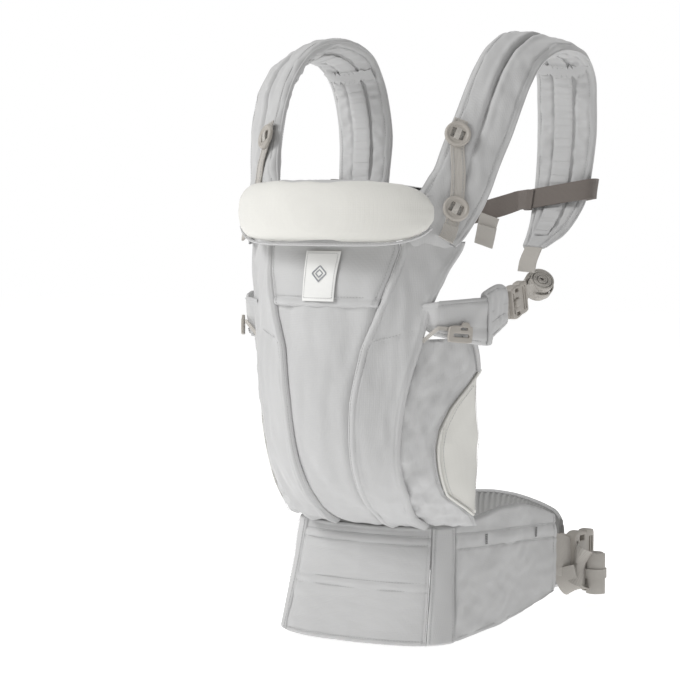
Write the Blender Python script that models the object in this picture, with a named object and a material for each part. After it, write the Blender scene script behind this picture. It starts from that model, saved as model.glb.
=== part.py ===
"""Soft structured baby carrier: body panel, waist belt and shoulder straps, closed as when worn.

Metres, +Z up. The outer face of the carrier looks along -Y, the wearer stands on the +Y side,
and the plane x = 0 is the plane of symmetry of everything but the belt's closing end.
"""
import math

import bmesh
import bpy
import numpy as np
from mathutils import Matrix, Vector

for old in list(bpy.data.objects):
    bpy.data.objects.remove(old, do_unlink=True)

MM = 0.001

# ---- driving dimensions, millimetres -------------------------------------------------
WAIST_WEB = 50.0        # waist webbing width
STRAP_WEB = 25.0        # shoulder, chest and buckle webbing width
NECK_WEB = 15.0         # narrow webbing that carries the neck buttons
BUTTON_D = 28.0         # neck button diameter
STRAP_W = 74.0          # padded shoulder strap width
STRAP_T = 18.0          # padded shoulder strap thickness
PANEL_T = 5.0           # quilted body panel thickness
FOAM_T = 9.0            # waistband foam thickness
GAP = 0.5               # gap between sewn neighbours
NECK_FOLD = (-214.0, 513.0)     # y, z of the headrest fold line
STRAP_FOLD = (-174.0, 450.0)    # y, z of the line where the straps leave the panel
BELT_FOLD = (108.0, -100.0)      # x, y of the vertical line where a belt wing leaves the front

# Body panel, up its middle: y, z, radius of the horizontal arc through it, and how deep that arc curves back
BODY = np.array([
    (-128, 127.5, 135, 0.5), (-160, 141, 130, 0.7), (-190, 163, 126, 0.85), (-213, 190, 124, 0.95), (-228, 224, 125, 1),
    (-234, 276, 132, 1), (-230, 335, 144, 1), (-227, 380, 148, 1), (-222, 411, 154, 1), (-213, 438, 165, 1),
    (-205, 470, 171, 1), (-199, 503, 176, 1)], float)

# Belt, from the middle of the front round to the end of a wing: x, y, z of lower and upper edge
BELT_LOW = np.array([
    (0, -170, 0), (50, -166, 0), (90, -151, 0), (110, -122, 0), (112, -68, 0),
    (111, -8, 0), (109, 50, 2), (110, 105, 8), (114, 139, 16)], float)
BELT_HIGH = np.array([
    (0, -128, 126), (46, -125, 126), (80, -116, 127), (100, -99, 128), (107, -58, 133),
    (112, 6, 138), (113, 60, 134), (114, 105, 123), (116, 139, 112)], float)

# Shoulder strap centre line, right-hand side: x, y, z, the turn of its width from the X axis, and its tilt
STRAP = np.array([
    (106, -174, 454, 36, 0), (114, -156, 481, 36, 0), (122, -139, 512, 36, 0), (128, -127, 542, 34, 2),
    (134, -112, 572, 30, 6), (138, -96, 602, 24, 12), (140, -75, 630, 16, 18), (140, -40, 656, 8, 20),
    (141, 14, 670, 2, 16), (142, 71, 663, 0, 10), (141, 101, 637, 0, 4), (138, 112, 606, 0, 0),
    (136, 117, 567, 0, 0), (135, 112, 526, 0, 0), (133, 103, 490, 0, 0), (130, 80, 457, 0, 0),
    (127, 46, 436, 0, 0)], float)


# ---- helpers ---------------------------------------------------------------------------
def spline(points, t):
    """Catmull-Rom through the rows of points, at t from 0 to 1."""
    points = np.asarray(points, float)
    n = len(points) - 1
    x = min(max(t, 0.0), 1.0) * n
    i = min(int(x), n - 1)
    u = x - i
    p1, p2 = points[i], points[i + 1]
    p0 = points[i - 1] if i else 2 * p1 - p2
    p3 = points[i + 2] if i + 2 <= n else 2 * p2 - p1
    return 0.5 * (2 * p1 + (p2 - p0) * u + (2 * p0 - 5 * p1 + 4 * p2 - p3) * u * u
                  + (3 * p1 - p0 - 3 * p2 + p3) * u ** 3)


def unit(v):
    v = np.asarray(v, float)
    return v / np.linalg.norm(v)


def material(name, colour, rough, metal=0.0):
    made = bpy.data.materials.new(name)
    made.use_nodes = True
    shader = made.node_tree.nodes["Principled BSDF"]
    shader.inputs["Base Color"].default_value = (*colour, 1)
    shader.inputs["Roughness"].default_value = rough
    shader.inputs["Metallic"].default_value = metal
    return made


GREY = ((0.54, 0.55, 0.56), 0.9)
CREAM = ((0.76, 0.76, 0.73), 0.92)
WEB = ((0.50, 0.48, 0.46), 0.85)
TAUPE = ((0.22, 0.20, 0.19), 0.85)
PLASTIC = ((0.47, 0.45, 0.43), 0.45)
LABEL = ((0.86, 0.86, 0.84), 0.7)
FOAM = ((0.35, 0.36, 0.37), 0.95)


def add(name, verts, faces, look):
    """A closed mesh object from points in millimetres, its faces turned outwards."""
    bm = bmesh.new()
    made = [bm.verts.new(Vector(v) * MM) for v in verts]
    for face in faces:
        bm.faces.new([made[i] for i in face])
    bmesh.ops.remove_doubles(bm, verts=bm.verts, dist=1e-7)
    bmesh.ops.recalc_face_normals(bm, faces=bm.faces)
    if bm.calc_volume(signed=True) < 0:
        bmesh.ops.reverse_faces(bm, faces=bm.faces)
    mesh = bpy.data.meshes.new(name)
    bm.to_mesh(mesh)
    bm.free()
    obj = bpy.data.objects.new(name, mesh)
    bpy.context.scene.collection.objects.link(obj)
    mesh.materials.append(material(name + "_look", *look))
    mesh.shade_smooth()
    mesh.set_sharp_from_angle(angle=math.radians(40))
    return obj


def mirror(obj, name):
    """The same piece on the other side of x = 0."""
    mesh = obj.data.copy()
    mesh.name = name
    mesh.transform(Matrix.Scale(-1, 4, (1, 0, 0)))
    mesh.flip_normals()
    mesh.materials.clear()
    mesh.materials.append(obj.data.materials[0].copy())
    made = bpy.data.objects.new(name, mesh)
    bpy.context.scene.collection.objects.link(made)
    return made


def both(maker, stem, *args):
    right = maker(stem + "_right", *args)
    return right, mirror(right, stem + "_left")


def patch(name, surface, ns, nt, thick, look, level=False):
    """A quilted panel: a grid over surface(s, t), thickened towards the wearer, level for a band whose rims stay flat."""
    s = np.linspace(0, 1, ns + 1)
    t = np.linspace(0, 1, nt + 1)
    grid = np.array([[surface(a, b) for b in t] for a in s])
    ds = np.gradient(grid, axis=0)
    dt = np.gradient(grid, axis=1)
    normal = np.cross(ds, dt)
    if level:
        normal[..., 2] = 0
    normal /= np.linalg.norm(normal, axis=2, keepdims=True)
    depth = np.array([[thick(a, b) if callable(thick) else thick for b in t] for a in s])[..., None]
    back = grid - normal * depth
    w, h = ns + 1, nt + 1
    verts = list(grid.reshape(-1, 3)) + list(back.reshape(-1, 3))
    at = lambda i, j, k: k * w * h + i * h + j
    faces = []
    for i in range(ns):
        for j in range(nt):
            faces.append((at(i, j, 0), at(i + 1, j, 0), at(i + 1, j + 1, 0), at(i, j + 1, 0)))
            faces.append((at(i, j, 1), at(i, j + 1, 1), at(i + 1, j + 1, 1), at(i + 1, j, 1)))
    for i in range(ns):
        faces.append((at(i, 0, 0), at(i, 0, 1), at(i + 1, 0, 1), at(i + 1, 0, 0)))
        faces.append((at(i, nt, 0), at(i + 1, nt, 0), at(i + 1, nt, 1), at(i, nt, 1)))
    for j in range(nt):
        faces.append((at(0, j, 0), at(0, j + 1, 0), at(0, j + 1, 1), at(0, j, 1)))
        faces.append((at(ns, j, 0), at(ns, j, 1), at(ns, j + 1, 1), at(ns, j + 1, 0)))
    return add(name, verts, faces, look)


FLAT = [(-0.5, -0.5), (0.5, -0.5), (0.5, 0.5), (-0.5, 0.5)]
PADDED = [(-0.5, -0.12), (-0.44, -0.42), (-0.22, -0.5), (0.22, -0.5), (0.44, -0.42), (0.5, -0.12),
          (0.5, 0.12), (0.44, 0.42), (0.22, 0.5), (-0.22, 0.5), (-0.44, 0.42), (-0.5, 0.12)]


def sweep(name, centre, across, width, thick, look, section=FLAT, closed=False):
    """A band of the given section along centre; across is the direction of its width at each point."""
    centre = np.asarray(centre, float)
    n = len(centre)
    if closed:
        tangent = np.roll(centre, -1, 0) - np.roll(centre, 1, 0)
    else:
        tangent = np.gradient(centre, axis=0)
    rings = []
    for i in range(n):
        a = unit(across[i] if np.ndim(across) == 2 else across)
        a = unit(a - unit(tangent[i]) * (a @ unit(tangent[i])))
        up = np.cross(unit(tangent[i]), a)
        w = width[i] if np.ndim(width) else width
        d = thick[i] if np.ndim(thick) else thick
        rings.append([centre[i] + a * p * w + up * q * d for p, q in section])
    k = len(section)
    verts = [v for ring in rings for v in ring]
    faces = []
    for i in range(n if closed else n - 1):
        j = (i + 1) % n
        for m in range(k):
            faces.append((i * k + m, i * k + (m + 1) % k, j * k + (m + 1) % k, j * k + m))
    if not closed:
        faces.append(tuple(range(k))[::-1])
        faces.append(tuple((n - 1) * k + m for m in range(k)))
    return add(name, verts, faces, look)


def block(name, centre, x_dir, y_dir, size, look, bevel=1.5, cuts=()):
    """A moulded block, its edges rounded, with box-shaped openings cut through it."""
    def box(label, c, s):
        bm = bmesh.new()
        bmesh.ops.create_cube(bm, size=1.0)
        bmesh.ops.scale(bm, vec=Vector(s) * MM, verts=bm.verts)
        mesh = bpy.data.meshes.new(label)
        bm.to_mesh(mesh)
        bm.free()
        mesh.transform(Matrix.Translation(Vector(c) * MM))
        made = bpy.data.objects.new(label, mesh)
        bpy.context.scene.collection.objects.link(made)
        return made

    ax = unit(x_dir)
    az = unit(np.cross(ax, y_dir))
    ay = np.cross(az, ax)
    frame = Matrix([[*row, c] for row, c in zip(np.array([ax, ay, az]).T, np.asarray(centre, float) * MM)] + [[0, 0, 0, 1]])
    body = box(name, (0, 0, 0), size)
    body.matrix_world = frame
    body.data.materials.append(material(name + "_look", *look))
    if bevel:
        rounding = body.modifiers.new("rounding", "BEVEL")
        rounding.width = bevel * MM
        rounding.segments = 2
        rounding.limit_method = "ANGLE"
    for i, (c, s) in enumerate(cuts):
        cutter = box(f"{name}_cut{i}", c, s)
        cutter.matrix_world = frame
        cutter.hide_render = True
        cutter.display_type = "WIRE"
        opening = body.modifiers.new("opening", "BOOLEAN")
        opening.object = cutter
        opening.solver = "EXACT"
    return body


def barrel(theta, t):
    """A point of the body panel: theta in degrees from the middle, t up the panel."""
    y, z, r, depth = spline(BODY, t)
    a = math.radians(theta)
    return np.array([r * math.sin(a), y + depth * r * (1 - math.cos(a)), z])


def t_at(z):
    """How far up the body panel the height z lies."""
    low, high = 0.0, 1.0
    for _ in range(40):
        mid = (low + high) / 2
        low, high = (mid, high) if spline(BODY, mid)[1] < z else (low, mid)
    return low


def lerp(table, x):
    rows = np.asarray(table, float)
    return float(np.interp(x, rows[:, 0], rows[:, 1]))


POCKET_EDGE = [(378, 26), (412, 29), (440, 28.8), (446, 28), (454, 22.5), (462, 21), (503, 21)]     # z, theta
CENTRE_EDGE = [(0.0, 13.5), (0.18, 14), (0.33, 15.3), (0.45, 16.4), (0.54, 19.3), (0.60, 24), (0.64, 26)]   # t, theta
SIDE_EDGE = [(0.0, 34), (0.1, 34.5), (0.2, 39), (0.3, 40), (0.4, 41.5), (0.5, 43.5), (0.6, 47), (0.7, 51), (0.82, 52.5)]
PAD_EDGE = [(0.09, 72), (0.14, 68), (0.20, 61), (0.30, 61.5), (0.365, 62), (0.40, 63.5), (0.44, 69), (0.48, 78.5), (0.52, 86)]
LEG_EDGE = [(0.0, 70), (0.09, 75), (0.20, 86), (0.30, 95), (0.37, 98), (0.45, 88), (0.49, 83), (0.57, 70), (0.62, 66)]


def pocket_edge(t):
    return lerp(POCKET_EDGE, spline(BODY, t)[1])


# ---- body panel --------------------------------------------------------------------------
TOP_CENTRE = t_at(378)
TOP_SIDE = t_at(436)
patch("body_centre_panel",
      lambda s, t: barrel((2 * s - 1) * (lerp(CENTRE_EDGE, t * TOP_CENTRE) - 0.3), t * TOP_CENTRE),
      8, 14, PANEL_T, GREY)
patch("hood_pocket",
      lambda s, t: barrel((2 * s - 1) * pocket_edge(TOP_CENTRE + 0.006 + t * (0.994 - TOP_CENTRE)),
                          TOP_CENTRE + 0.006 + t * (0.994 - TOP_CENTRE)),
      8, 9, PANEL_T, GREY)
both(lambda name: patch(
    name, lambda s, t: barrel(
        (lerp(CENTRE_EDGE, t * TOP_SIDE) if t * TOP_SIDE < TOP_CENTRE + 0.003 else
         pocket_edge(t * TOP_SIDE)) * (1 - s)
        + lerp(SIDE_EDGE, t * TOP_SIDE) * s + 0.5 - 0.6 * s + (0.9 if t * TOP_SIDE > TOP_CENTRE - 0.02 else 0) * (1 - s), t * TOP_SIDE),
    5, 14, PANEL_T, GREY), "body_side_panel")

GUSSET_TOP = t_at(336)


def gusset_edge(t):
    return lerp(PAD_EDGE, t) if 0.09 <= t <= 0.50 else lerp([(0.50, 82), (0.57, 70), (0.62, 66)], t) if t > 0.50 else lerp([(0, 66), (0.09, 72)], t)


both(lambda name: patch(
    name, lambda s, t: barrel(
        (lerp(SIDE_EDGE, t * GUSSET_TOP) + 0.9) * (1 - s) + (gusset_edge(t * GUSSET_TOP) - 0.7) * s, t * GUSSET_TOP),
    4, 14, PANEL_T, GREY), "seat_gusset")
both(lambda name: patch(
    name, lambda s, t: barrel(
        (gusset_edge(0.105 + t * 0.40) + 0.7) * (1 - s)
        + max(lerp(LEG_EDGE, 0.105 + t * 0.40), gusset_edge(0.105 + t * 0.40) + 4.2) * s, 0.105 + t * 0.40),
    4, 10, 9.0, CREAM), "leg_pad")


# ---- label and headrest ------------------------------------------------------------------
def label_surface(s, t):
    low, high = t_at(383), t_at(437)
    p = barrel((2 * s - 1) * 7.6, low + (high - low) * t)
    return p + np.array([0, -1.3, 0])


patch("label_patch", label_surface, 3, 3, 0.8, LABEL)


def pillow(s, t):
    x = 125 * (2 * s - 1)
    edge = abs(2 * s - 1)
    y = -250 + 50 * (x / 125) ** 2
    half = 38.0 * (1 - 0.34 * edge ** 5)
    return np.array([x, y, 478 + half * (2 * t - 1) + 2 * (1 - edge ** 2)])


patch("headrest_pillow", pillow, 12, 4,
      lambda s, t: 9 + 15 * (1 - abs(2 * s - 1) ** 4) * (1 - abs(2 * t - 1) ** 3), CREAM)


# ---- shoulder straps ---------------------------------------------------------------------
def strap_at(t):
    x, y, z, turn, tilt = spline(STRAP, t)
    a, b = math.radians(turn), math.radians(tilt)
    return np.array([x, y, z]), np.array([math.cos(a) * math.cos(b), math.sin(a) * math.cos(b), -math.sin(b)])


def strap_solid(name):
    steps = np.linspace(0, 1, 27)
    centre = [strap_at(t)[0] for t in steps]
    across = np.array([strap_at(t)[1] for t in steps])
    width = [lerp([(0, 70), (0.1, STRAP_W), (0.75, STRAP_W), (0.88, 66), (0.95, 46), (1, 27)], t) for t in steps]
    thick = [lerp([(0, 7), (0.05, 12), (0.12, STRAP_T), (0.85, STRAP_T), (0.95, 13), (1, 7)], t) for t in steps]
    return sweep(name, centre, across, width, thick, GREY, PADDED)


both(strap_solid, "shoulder_strap")


def strap_frame(z):
    """Centre, width direction, outward direction and run direction of the front of the strap at height z."""
    low, high = 0.0, 0.45
    for _ in range(40):
        mid = (low + high) / 2
        low, high = (mid, high) if strap_at(mid)[0][2] < z else (low, mid)
    c, a = strap_at(low)
    run = unit(strap_at(low + 0.01)[0] - strap_at(low - 0.01 if low > 0.01 else 0)[0])
    a = unit(a - run * (a @ run))
    return c, a, np.cross(a, run), run


def on_strap(z, side, lift):
    c, a, out, run = strap_frame(z)
    return c + a * side + out * lift


# the neck webbing crosses the strap at a slant: height, offset from the strap's middle
NECK_LINE = [(459, 18), (483.5, 11), (552.5, -18), (566, -20)]


def neck_webbing(name):
    heights = np.linspace(459, 566, 12)
    centre = [on_strap(z, lerp(NECK_LINE, z), STRAP_T / 2 + 1.6) for z in heights]
    across = np.array([strap_frame(z)[1] for z in heights])
    return sweep(name, centre, across, NECK_WEB, 1.4, WEB)


both(neck_webbing, "neck_webbing")


def button(name, z):
    """A round button with a rectangular window and a bar across it."""
    c, a, out, run = strap_frame(z)
    at = on_strap(z, lerp(NECK_LINE, z), STRAP_T / 2 + 2.9 + 2.4)
    bm = bmesh.new()
    profile = [(0.0, -2.2), (12.2, -2.2), (14.0, -0.6), (14.0, 0.8), (12.0, 2.2), (9.6, 1.4), (0.0, 1.4)]
    verts = [bm.verts.new((r * MM, 0, h * MM)) for r, h in profile]
    edges = [bm.edges.new(pair) for pair in zip(verts, verts[1:])]
    bmesh.ops.spin(bm, geom=verts + edges, axis=(0, 0, 1), cent=(0, 0, 0), steps=20, angle=2 * math.pi, use_duplicate=False)
    bmesh.ops.remove_doubles(bm, verts=bm.verts, dist=1e-6)
    bmesh.ops.dissolve_degenerate(bm, edges=bm.edges, dist=1e-7)
    bmesh.ops.recalc_face_normals(bm, faces=bm.faces)
    mesh = bpy.data.meshes.new(name)
    bm.to_mesh(mesh)
    bm.free()
    obj = bpy.data.objects.new(name, mesh)
    bpy.context.scene.collection.objects.link(obj)
    mesh.materials.append(material(name + "_look", *PLASTIC))
    mesh.transform(Matrix([[a[i], run[i], out[i], at[i] * MM] for i in range(3)] + [[0, 0, 0, 1]]))
    for offset in (-4.2, 4.2):
        cut = block(name + f"_window{offset:.0f}", at + run * offset, a, run, (13.0, 3.2, 12.0), PLASTIC, 0)
        cut.hide_render = True
        cut.display_type = "WIRE"
        window = obj.modifiers.new("window", "BOOLEAN")
        window.object = cut
        window.solver = "EXACT"
    return obj


for label, height in (("upper", 552.5), ("lower", 483.5)):
    both(button, f"neck_button_{label}", height)

# ---- chest strap ---------------------------------------------------------------------------
CHEST_Z = 503.0


def chest_loop(name):
    """The webbing loop round the strap: an oval ring that the strap passes through."""
    points = []
    for i in range(20):
        a = 2 * math.pi * i / 20
        c, s = math.cos(a), math.sin(a)
        x = 134 + 43 * math.copysign(abs(c) ** 0.55, c)
        y = 106.0 + 17.0 * math.copysign(abs(s) ** 0.6, s)
        points.append((x, y, CHEST_Z - 6 + 0.16 * (x - 134)))
    return sweep(name, points, np.array([0.0, 0.31, 0.95]), STRAP_WEB, 1.8, TAUPE, closed=True)


both(chest_loop, "chest_loop")


def chest_path(x):
    u = abs(x) / 84.0
    return np.array([x, 84 + 11 * u * u, 470 + 20.0 * u ** 1.5])


def chest_run(name, x0, x1):
    xs = np.linspace(x0, x1, 9)
    return sweep(name, [chest_path(x) for x in xs], np.array([0.0, 0.1, 0.995]), STRAP_WEB, 1.8, TAUPE)


chest_run("chest_webbing_right", 79.5, 27.5)
chest_run("chest_webbing_left", -66.0, -25.5)
HEAD = chest_path(0)
block("chest_buckle_female", HEAD + [11.2, 0, 0.5], (1, 0, 0), (0, 0, 1), (21.5, 31, 10), PLASTIC, 2.0,
      [((-7.0, 0, 0), (18, 20.6, 5.0)), ((-6.0, 13.5, 0), (7.5, 9, 5.0)), ((-6.0, -13.5, 0), (7.5, 9, 5.0))])
block("chest_buckle_male", HEAD + [-10.4, 0, 0.5], (-1, 0, 0), (0, 0, 1), (18.0, 31, 10), PLASTIC, 2.0)
for_tongue = block("chest_buckle_tongue", HEAD + [2.5, 0, 0.5], (1, 0, 0), (0, 0, 1), (14.0, 19.6, 4.2), PLASTIC, 0)
block("chest_tail_keeper", chest_path(44) + [0, -6, -30], (0.86, 0, -0.5), (0.5, 0, 0.86), (27, 25, 7), WEB, 1.5)


# ---- side arms, sliders and side buckles ---------------------------------------------------
def arm_rows():
    """Centre and width of the arm: round the outside of the panel first, then back to the buckle."""
    rows = []
    for theta, z, width in ((50, 365, 38), (58, 363, 44), (67, 361, 50), (76, 360, 54)):
        out = np.array([math.sin(math.radians(theta)), -math.cos(math.radians(theta)), 0.0])
        rows.append([*(barrel(theta, t_at(z)) + out * 6.5), width])
    return np.array(rows + [[133, -92, 362, 57], [128, -64, 367, 56], [123.5, -38, 371, 52], [122, -15, 372, 44]], float)


ARM = arm_rows()


def arm_at(t):
    row = spline(ARM, t)
    return row[:3], row[3]


def side_arm(name):
    steps = np.linspace(0, 1, 14)
    centre = [arm_at(t)[0] for t in steps]
    width = [arm_at(t)[1] for t in steps]
    return sweep(name, centre, np.array([0.0, -0.2, 0.98]), width, 6.0, GREY, PADDED)


both(side_arm, "side_arm")
BUCKLE_DIR = unit((0.0, 0.975, 0.22))
BUCKLE_UP = unit((0.0, -0.22, 0.975))
BUCKLE_OUT = np.array([1.0, 0, 0])


def buckle_point(run, up, out):
    return np.array([122.0, -11.0, 372.0]) + BUCKLE_DIR * run + BUCKLE_UP * up + BUCKLE_OUT * out


def side_female(name):
    return block(name, buckle_point(12, 0, 0), BUCKLE_DIR, BUCKLE_UP, (23, 38, 12), PLASTIC, 2.0,
                 [((4, 0, 0), (26, 26, 6.4)), ((-1.0, 0, 6), (12, 10.6, 8.0)), ((4, 17, 0), (9, 8, 6.4)), ((4, -17, 0), (9, 8, 6.4))])


def side_male(name):
    """Shoulder block, tongue and bar of the male half, in one moulding."""
    body = block(name, buckle_point(33.0, 0, 0), BUCKLE_DIR, BUCKLE_UP, (18, 38, 10), PLASTIC, 2.0,
                 [((2.5, 0, 0), (3.7, 27, 14))])
    tongue = block(name + "_tongue", buckle_point(17.5, 0, 0), BUCKLE_DIR, BUCKLE_UP, (20, 24.6, 5.2), PLASTIC, 0)
    tongue.hide_render = True
    tongue.display_type = "WIRE"
    join = body.modifiers.new("tongue", "BOOLEAN")
    join.operation = "UNION"
    join.object = tongue
    join.solver = "EXACT"
    return body


def baked_mirror(obj, name):
    """The mirror of a piece as its modifiers make it."""
    graph = bpy.context.evaluated_depsgraph_get()
    mesh = bpy.data.meshes.new_from_object(obj.evaluated_get(graph))
    mesh.transform(obj.matrix_world)
    mesh.transform(Matrix.Scale(-1, 4, (1, 0, 0)))
    mesh.flip_normals()
    mesh.name = name
    made = bpy.data.objects.new(name, mesh)
    bpy.context.scene.collection.objects.link(made)
    return made


def pair(maker, stem):
    right = maker(stem + "_right")
    bpy.context.view_layer.update()
    baked_mirror(right, stem + "_left")


# the chest buckle's tongue belongs to its male half
for_tongue.hide_render = True
for_tongue.display_type = "WIRE"
chest_male = bpy.data.objects["chest_buckle_male"]
join = chest_male.modifiers.new("tongue", "BOOLEAN")
join.operation = "UNION"
join.object = for_tongue
join.solver = "EXACT"

pair(side_female, "side_buckle_female")
pair(side_male, "side_buckle_male")
pair(lambda name: block(name, buckle_point(11.0, 0, 6.9), BUCKLE_DIR, BUCKLE_UP, (11, 9.6, 3.2), PLASTIC, 0.9), "side_buckle_button")


def disc(name, centre, axis, radius, height, look, sides=20, bore=0.0):
    """A turned piece with softened rims, with a slot through it when bore is given."""
    axis = unit(axis)
    a = unit(np.cross(axis, (0.0, 0.3, 1.0)))
    b = np.cross(axis, a)
    r = 1.2
    profile = [(0, -height / 2), (radius - r, -height / 2), (radius, -height / 2 + r),
               (radius, height / 2 - r), (radius - r, height / 2), (0, height / 2)]
    if bore:
        profile = [(bore, -height / 2), (radius - r, -height / 2), (radius, -height / 2 + r),
                   (radius, height / 2 - r), (radius - r, height / 2), (bore, height / 2)]
    verts, faces = [], []
    k = len(profile)
    for i in range(sides):
        q = 2 * math.pi * i / sides
        for rad, h in profile:
            verts.append(np.asarray(centre, float) + (a * math.cos(q) + b * math.sin(q)) * rad + axis * h)
    for i in range(sides):
        j = (i + 1) % sides
        for m in range(k if bore else k - 1):
            quad = (i * k + m, j * k + m, j * k + (m + 1) % k, i * k + (m + 1) % k)
            if not bore and m == 0:
                quad = (i * k, j * k + 1, i * k + 1)
            elif not bore and m == k - 2:
                quad = (i * k + k - 2, j * k + k - 2, i * k + k - 1)
            faces.append(quad)
    if not bore:
        for m, flip in ((0, False), (k - 1, True)):
            for i in range(1, sides):
                verts[i * k + m] = verts[m]
    return add(name, verts, faces, look)


ROLL_AXIS = unit((0.62, -0.50, 0.60))
ROLL_AT = np.array([128.0, 56.5, 392.0])
both(lambda name: disc(name, ROLL_AT, ROLL_AXIS, 15.4, 26, WEB), "webbing_roll")
both(lambda name: disc(name, ROLL_AT, ROLL_AXIS, 17.4, 9, WEB, 20, 16.0), "roll_keeper")


def strap_tail(name):
    """Short webbing from the tip of the shoulder strap towards its buckle."""
    points = [spline([(126.5, 41, 430.5), (125.5, 38, 425), (124.5, 35.5, 419), (124, 34, 413)], t) for t in np.linspace(0, 1, 6)]
    return sweep(name, points, np.array([1.0, 0, 0]), 22.0, 1.6, WEB)


both(strap_tail, "strap_webbing")


def slider_frame(t):
    at, _ = arm_at(t)
    run = unit(arm_at(t + 0.03)[0] - arm_at(t - 0.03)[0])
    return at, run, unit(np.cross(run, (0, 0, 1)))


SLIDER_T = 0.165


def slider(name):
    at, run, out = slider_frame(SLIDER_T)
    return block(name, at + out * 7.8 + np.array([0, 0, -13.0]), run, (0, 0, 1), (30, 22, 4), PLASTIC, 1.2,
                 [((1.0, -2.0, 0), (20, 3.6, 10))])


def slider_webbing(name):
    points = []
    for t in np.linspace(0.0, SLIDER_T - 0.112, 5):
        at, run, out = slider_frame(t)
        points.append(at + out * 6.8 + np.array([0, 0, -10.0]))
    return sweep(name, points, np.array([0.0, 0, 1.0]), 5.0, 1.6, WEB)


pair(slider, "width_slider")
both(slider_webbing, "slider_webbing")


# ---- waist belt --------------------------------------------------------------------------
def belt(s, t):
    low, high = spline(BELT_LOW, s), spline(BELT_HIGH, s)
    u = t + 0.06 * math.sin(math.pi * t)
    p = low + (high - low) * t
    flat = (high - low) * (u - t)
    return p + np.array([flat[0], flat[1], 0])


FRONT_END, STRIP_END, WING_START = 0.250, 0.372, 0.392


def front_belt(s, t, inset=0.0, share=1.0):
    q = (2 * s - 1) * share
    p = belt(abs(q) * FRONT_END, t)
    return np.array([math.copysign(p[0], q) if q else 0.0, p[1] + inset, p[2]])


patch("waistband_front_panel", lambda s, t: front_belt(s, t), 12, 5, 3.0, GREY, True)
patch("waistband_foam_core", lambda s, t: front_belt(s, 0.97 * t, 5.6, 0.90), 12, 3, FOAM_T, FOAM, True)
both(lambda name: patch(name, lambda s, t: belt(FRONT_END + 0.005 + s * (STRIP_END - FRONT_END - 0.005), t),
                        3, 5, 6.0, GREY, True), "seat_width_strip")
both(lambda name: patch(name, lambda s, t: belt(WING_START + s * (1 - WING_START), t),
                        14, 5, lambda s, t: 10.0 - 4 * abs(2 * t - 1) ** 4, GREY, True), "waist_wing")


def casing(name):
    """The flat band sewn along the top of the wing, which the webbing runs through."""
    def surface(s, t):
        q = WING_START + 0.02 + s * 0.545
        p = belt(q, 0.775 + 0.135 * t)
        return p + np.array([1.9, 0, 0])
    return patch(name, surface, 8, 1, 1.5, GREY)


both(casing, "webbing_casing")


def band(name, points, width, thick, look, n=14, section=FLAT):
    rows = [spline(points, t) for t in np.linspace(0, 1, n)]
    return sweep(name, rows, np.array([0.0, 0, 1.0]), width, thick, look, section)


band("waist_webbing_right", [(111, 148.5, 62), (113, 152, 60.5), (115, 155.5, 59), (117, 159.5, 57)], WAIST_WEB, 2.4, WEB, 6)
BELT_RUN = unit((0.08, 0.997, 0.0))
BELT_OUT = unit((0.997, -0.08, 0.0))


def belt_point(run, out, up):
    return np.array([121.0, 169.5, 55.0]) + BELT_RUN * run + BELT_OUT * out + np.array([0, 0, up])


block("waist_buckle_female", belt_point(15, 0, 0), BELT_RUN, (0, 0, 1), (29, 62, 14), PLASTIC, 2.5,
      [((5, 0, 0), (32, 46, 7.4)), ((-1, 0, 7.0), (15, 13.0, 9.0)), ((5, 28, 0), (12, 14, 7.4)), ((5, -28, 0), (12, 14, 7.4))])
male = block("waist_buckle_male", belt_point(40, 0, 0), BELT_RUN, (0, 0, 1), (20, 62, 12), PLASTIC, 2.5,
             [((3.0, 0, 0), (3.7, 51, 16))])
tongue = block("waist_tongue", belt_point(21, 0, 0), BELT_RUN, (0, 0, 1), (24, 44, 6.0), PLASTIC, 0)
tongue.hide_render = True
tongue.display_type = "WIRE"
join = male.modifiers.new("tongue", "BOOLEAN")
join.operation = "UNION"
join.object = tongue
join.solver = "EXACT"
block("waist_buckle_button", belt_point(14, 7.2, 0), BELT_RUN, (0, 0, 1), (13.6, 11.8, 4.6), PLASTIC, 1.2)
disc("waist_roll", belt_point(19, 24.5, -19), (0.0, 0.0, 1.0), 11.5, 54, WEB)
disc("waist_roll_keeper", belt_point(19, 24.5, -19), (0.0, 0.0, 1.0), 13.2, 12, WEB, 20, 12.0)

PAD = [(-108, 156, 62), (-106, 190, 62), (-92, 235, 62), (-58, 266, 62), (-8, 270, 61), (40, 248, 58), (78, 216, 56), (94, 200, 55)]
rows = [spline(PAD, t) for t in np.linspace(0, 1, 22)]
heights = [lerp([(0, 78), (0.12, 94), (0.5, 106), (0.85, 98), (1, 84)], t) for t in np.linspace(0, 1, 22)]
pad = sweep("lumbar_pad", rows, np.array([0.0, 0, 1.0]), heights, 13.0, GREY, PADDED)
band("waist_webbing_left", [(-110.0, 145.6, 64), (-109.8, 147, 63.7), (-109.6, 148.5, 63.4), (-109.4, 150.0, 63.2)], WAIST_WEB, 2.4, WEB, 4)
band("waist_webbing_rear", [(94.8, 198.6, 55), (99, 195.5, 55), (103.5, 194, 55), (108, 194.5, 55)], WAIST_WEB, 2.4, WEB, 6)
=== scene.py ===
"""Looks of the soft baby carrier: fabric, webbing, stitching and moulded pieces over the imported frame."""
import math

import bmesh
import bpy
import numpy as np
from mathutils import Matrix, Vector, noise


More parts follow.
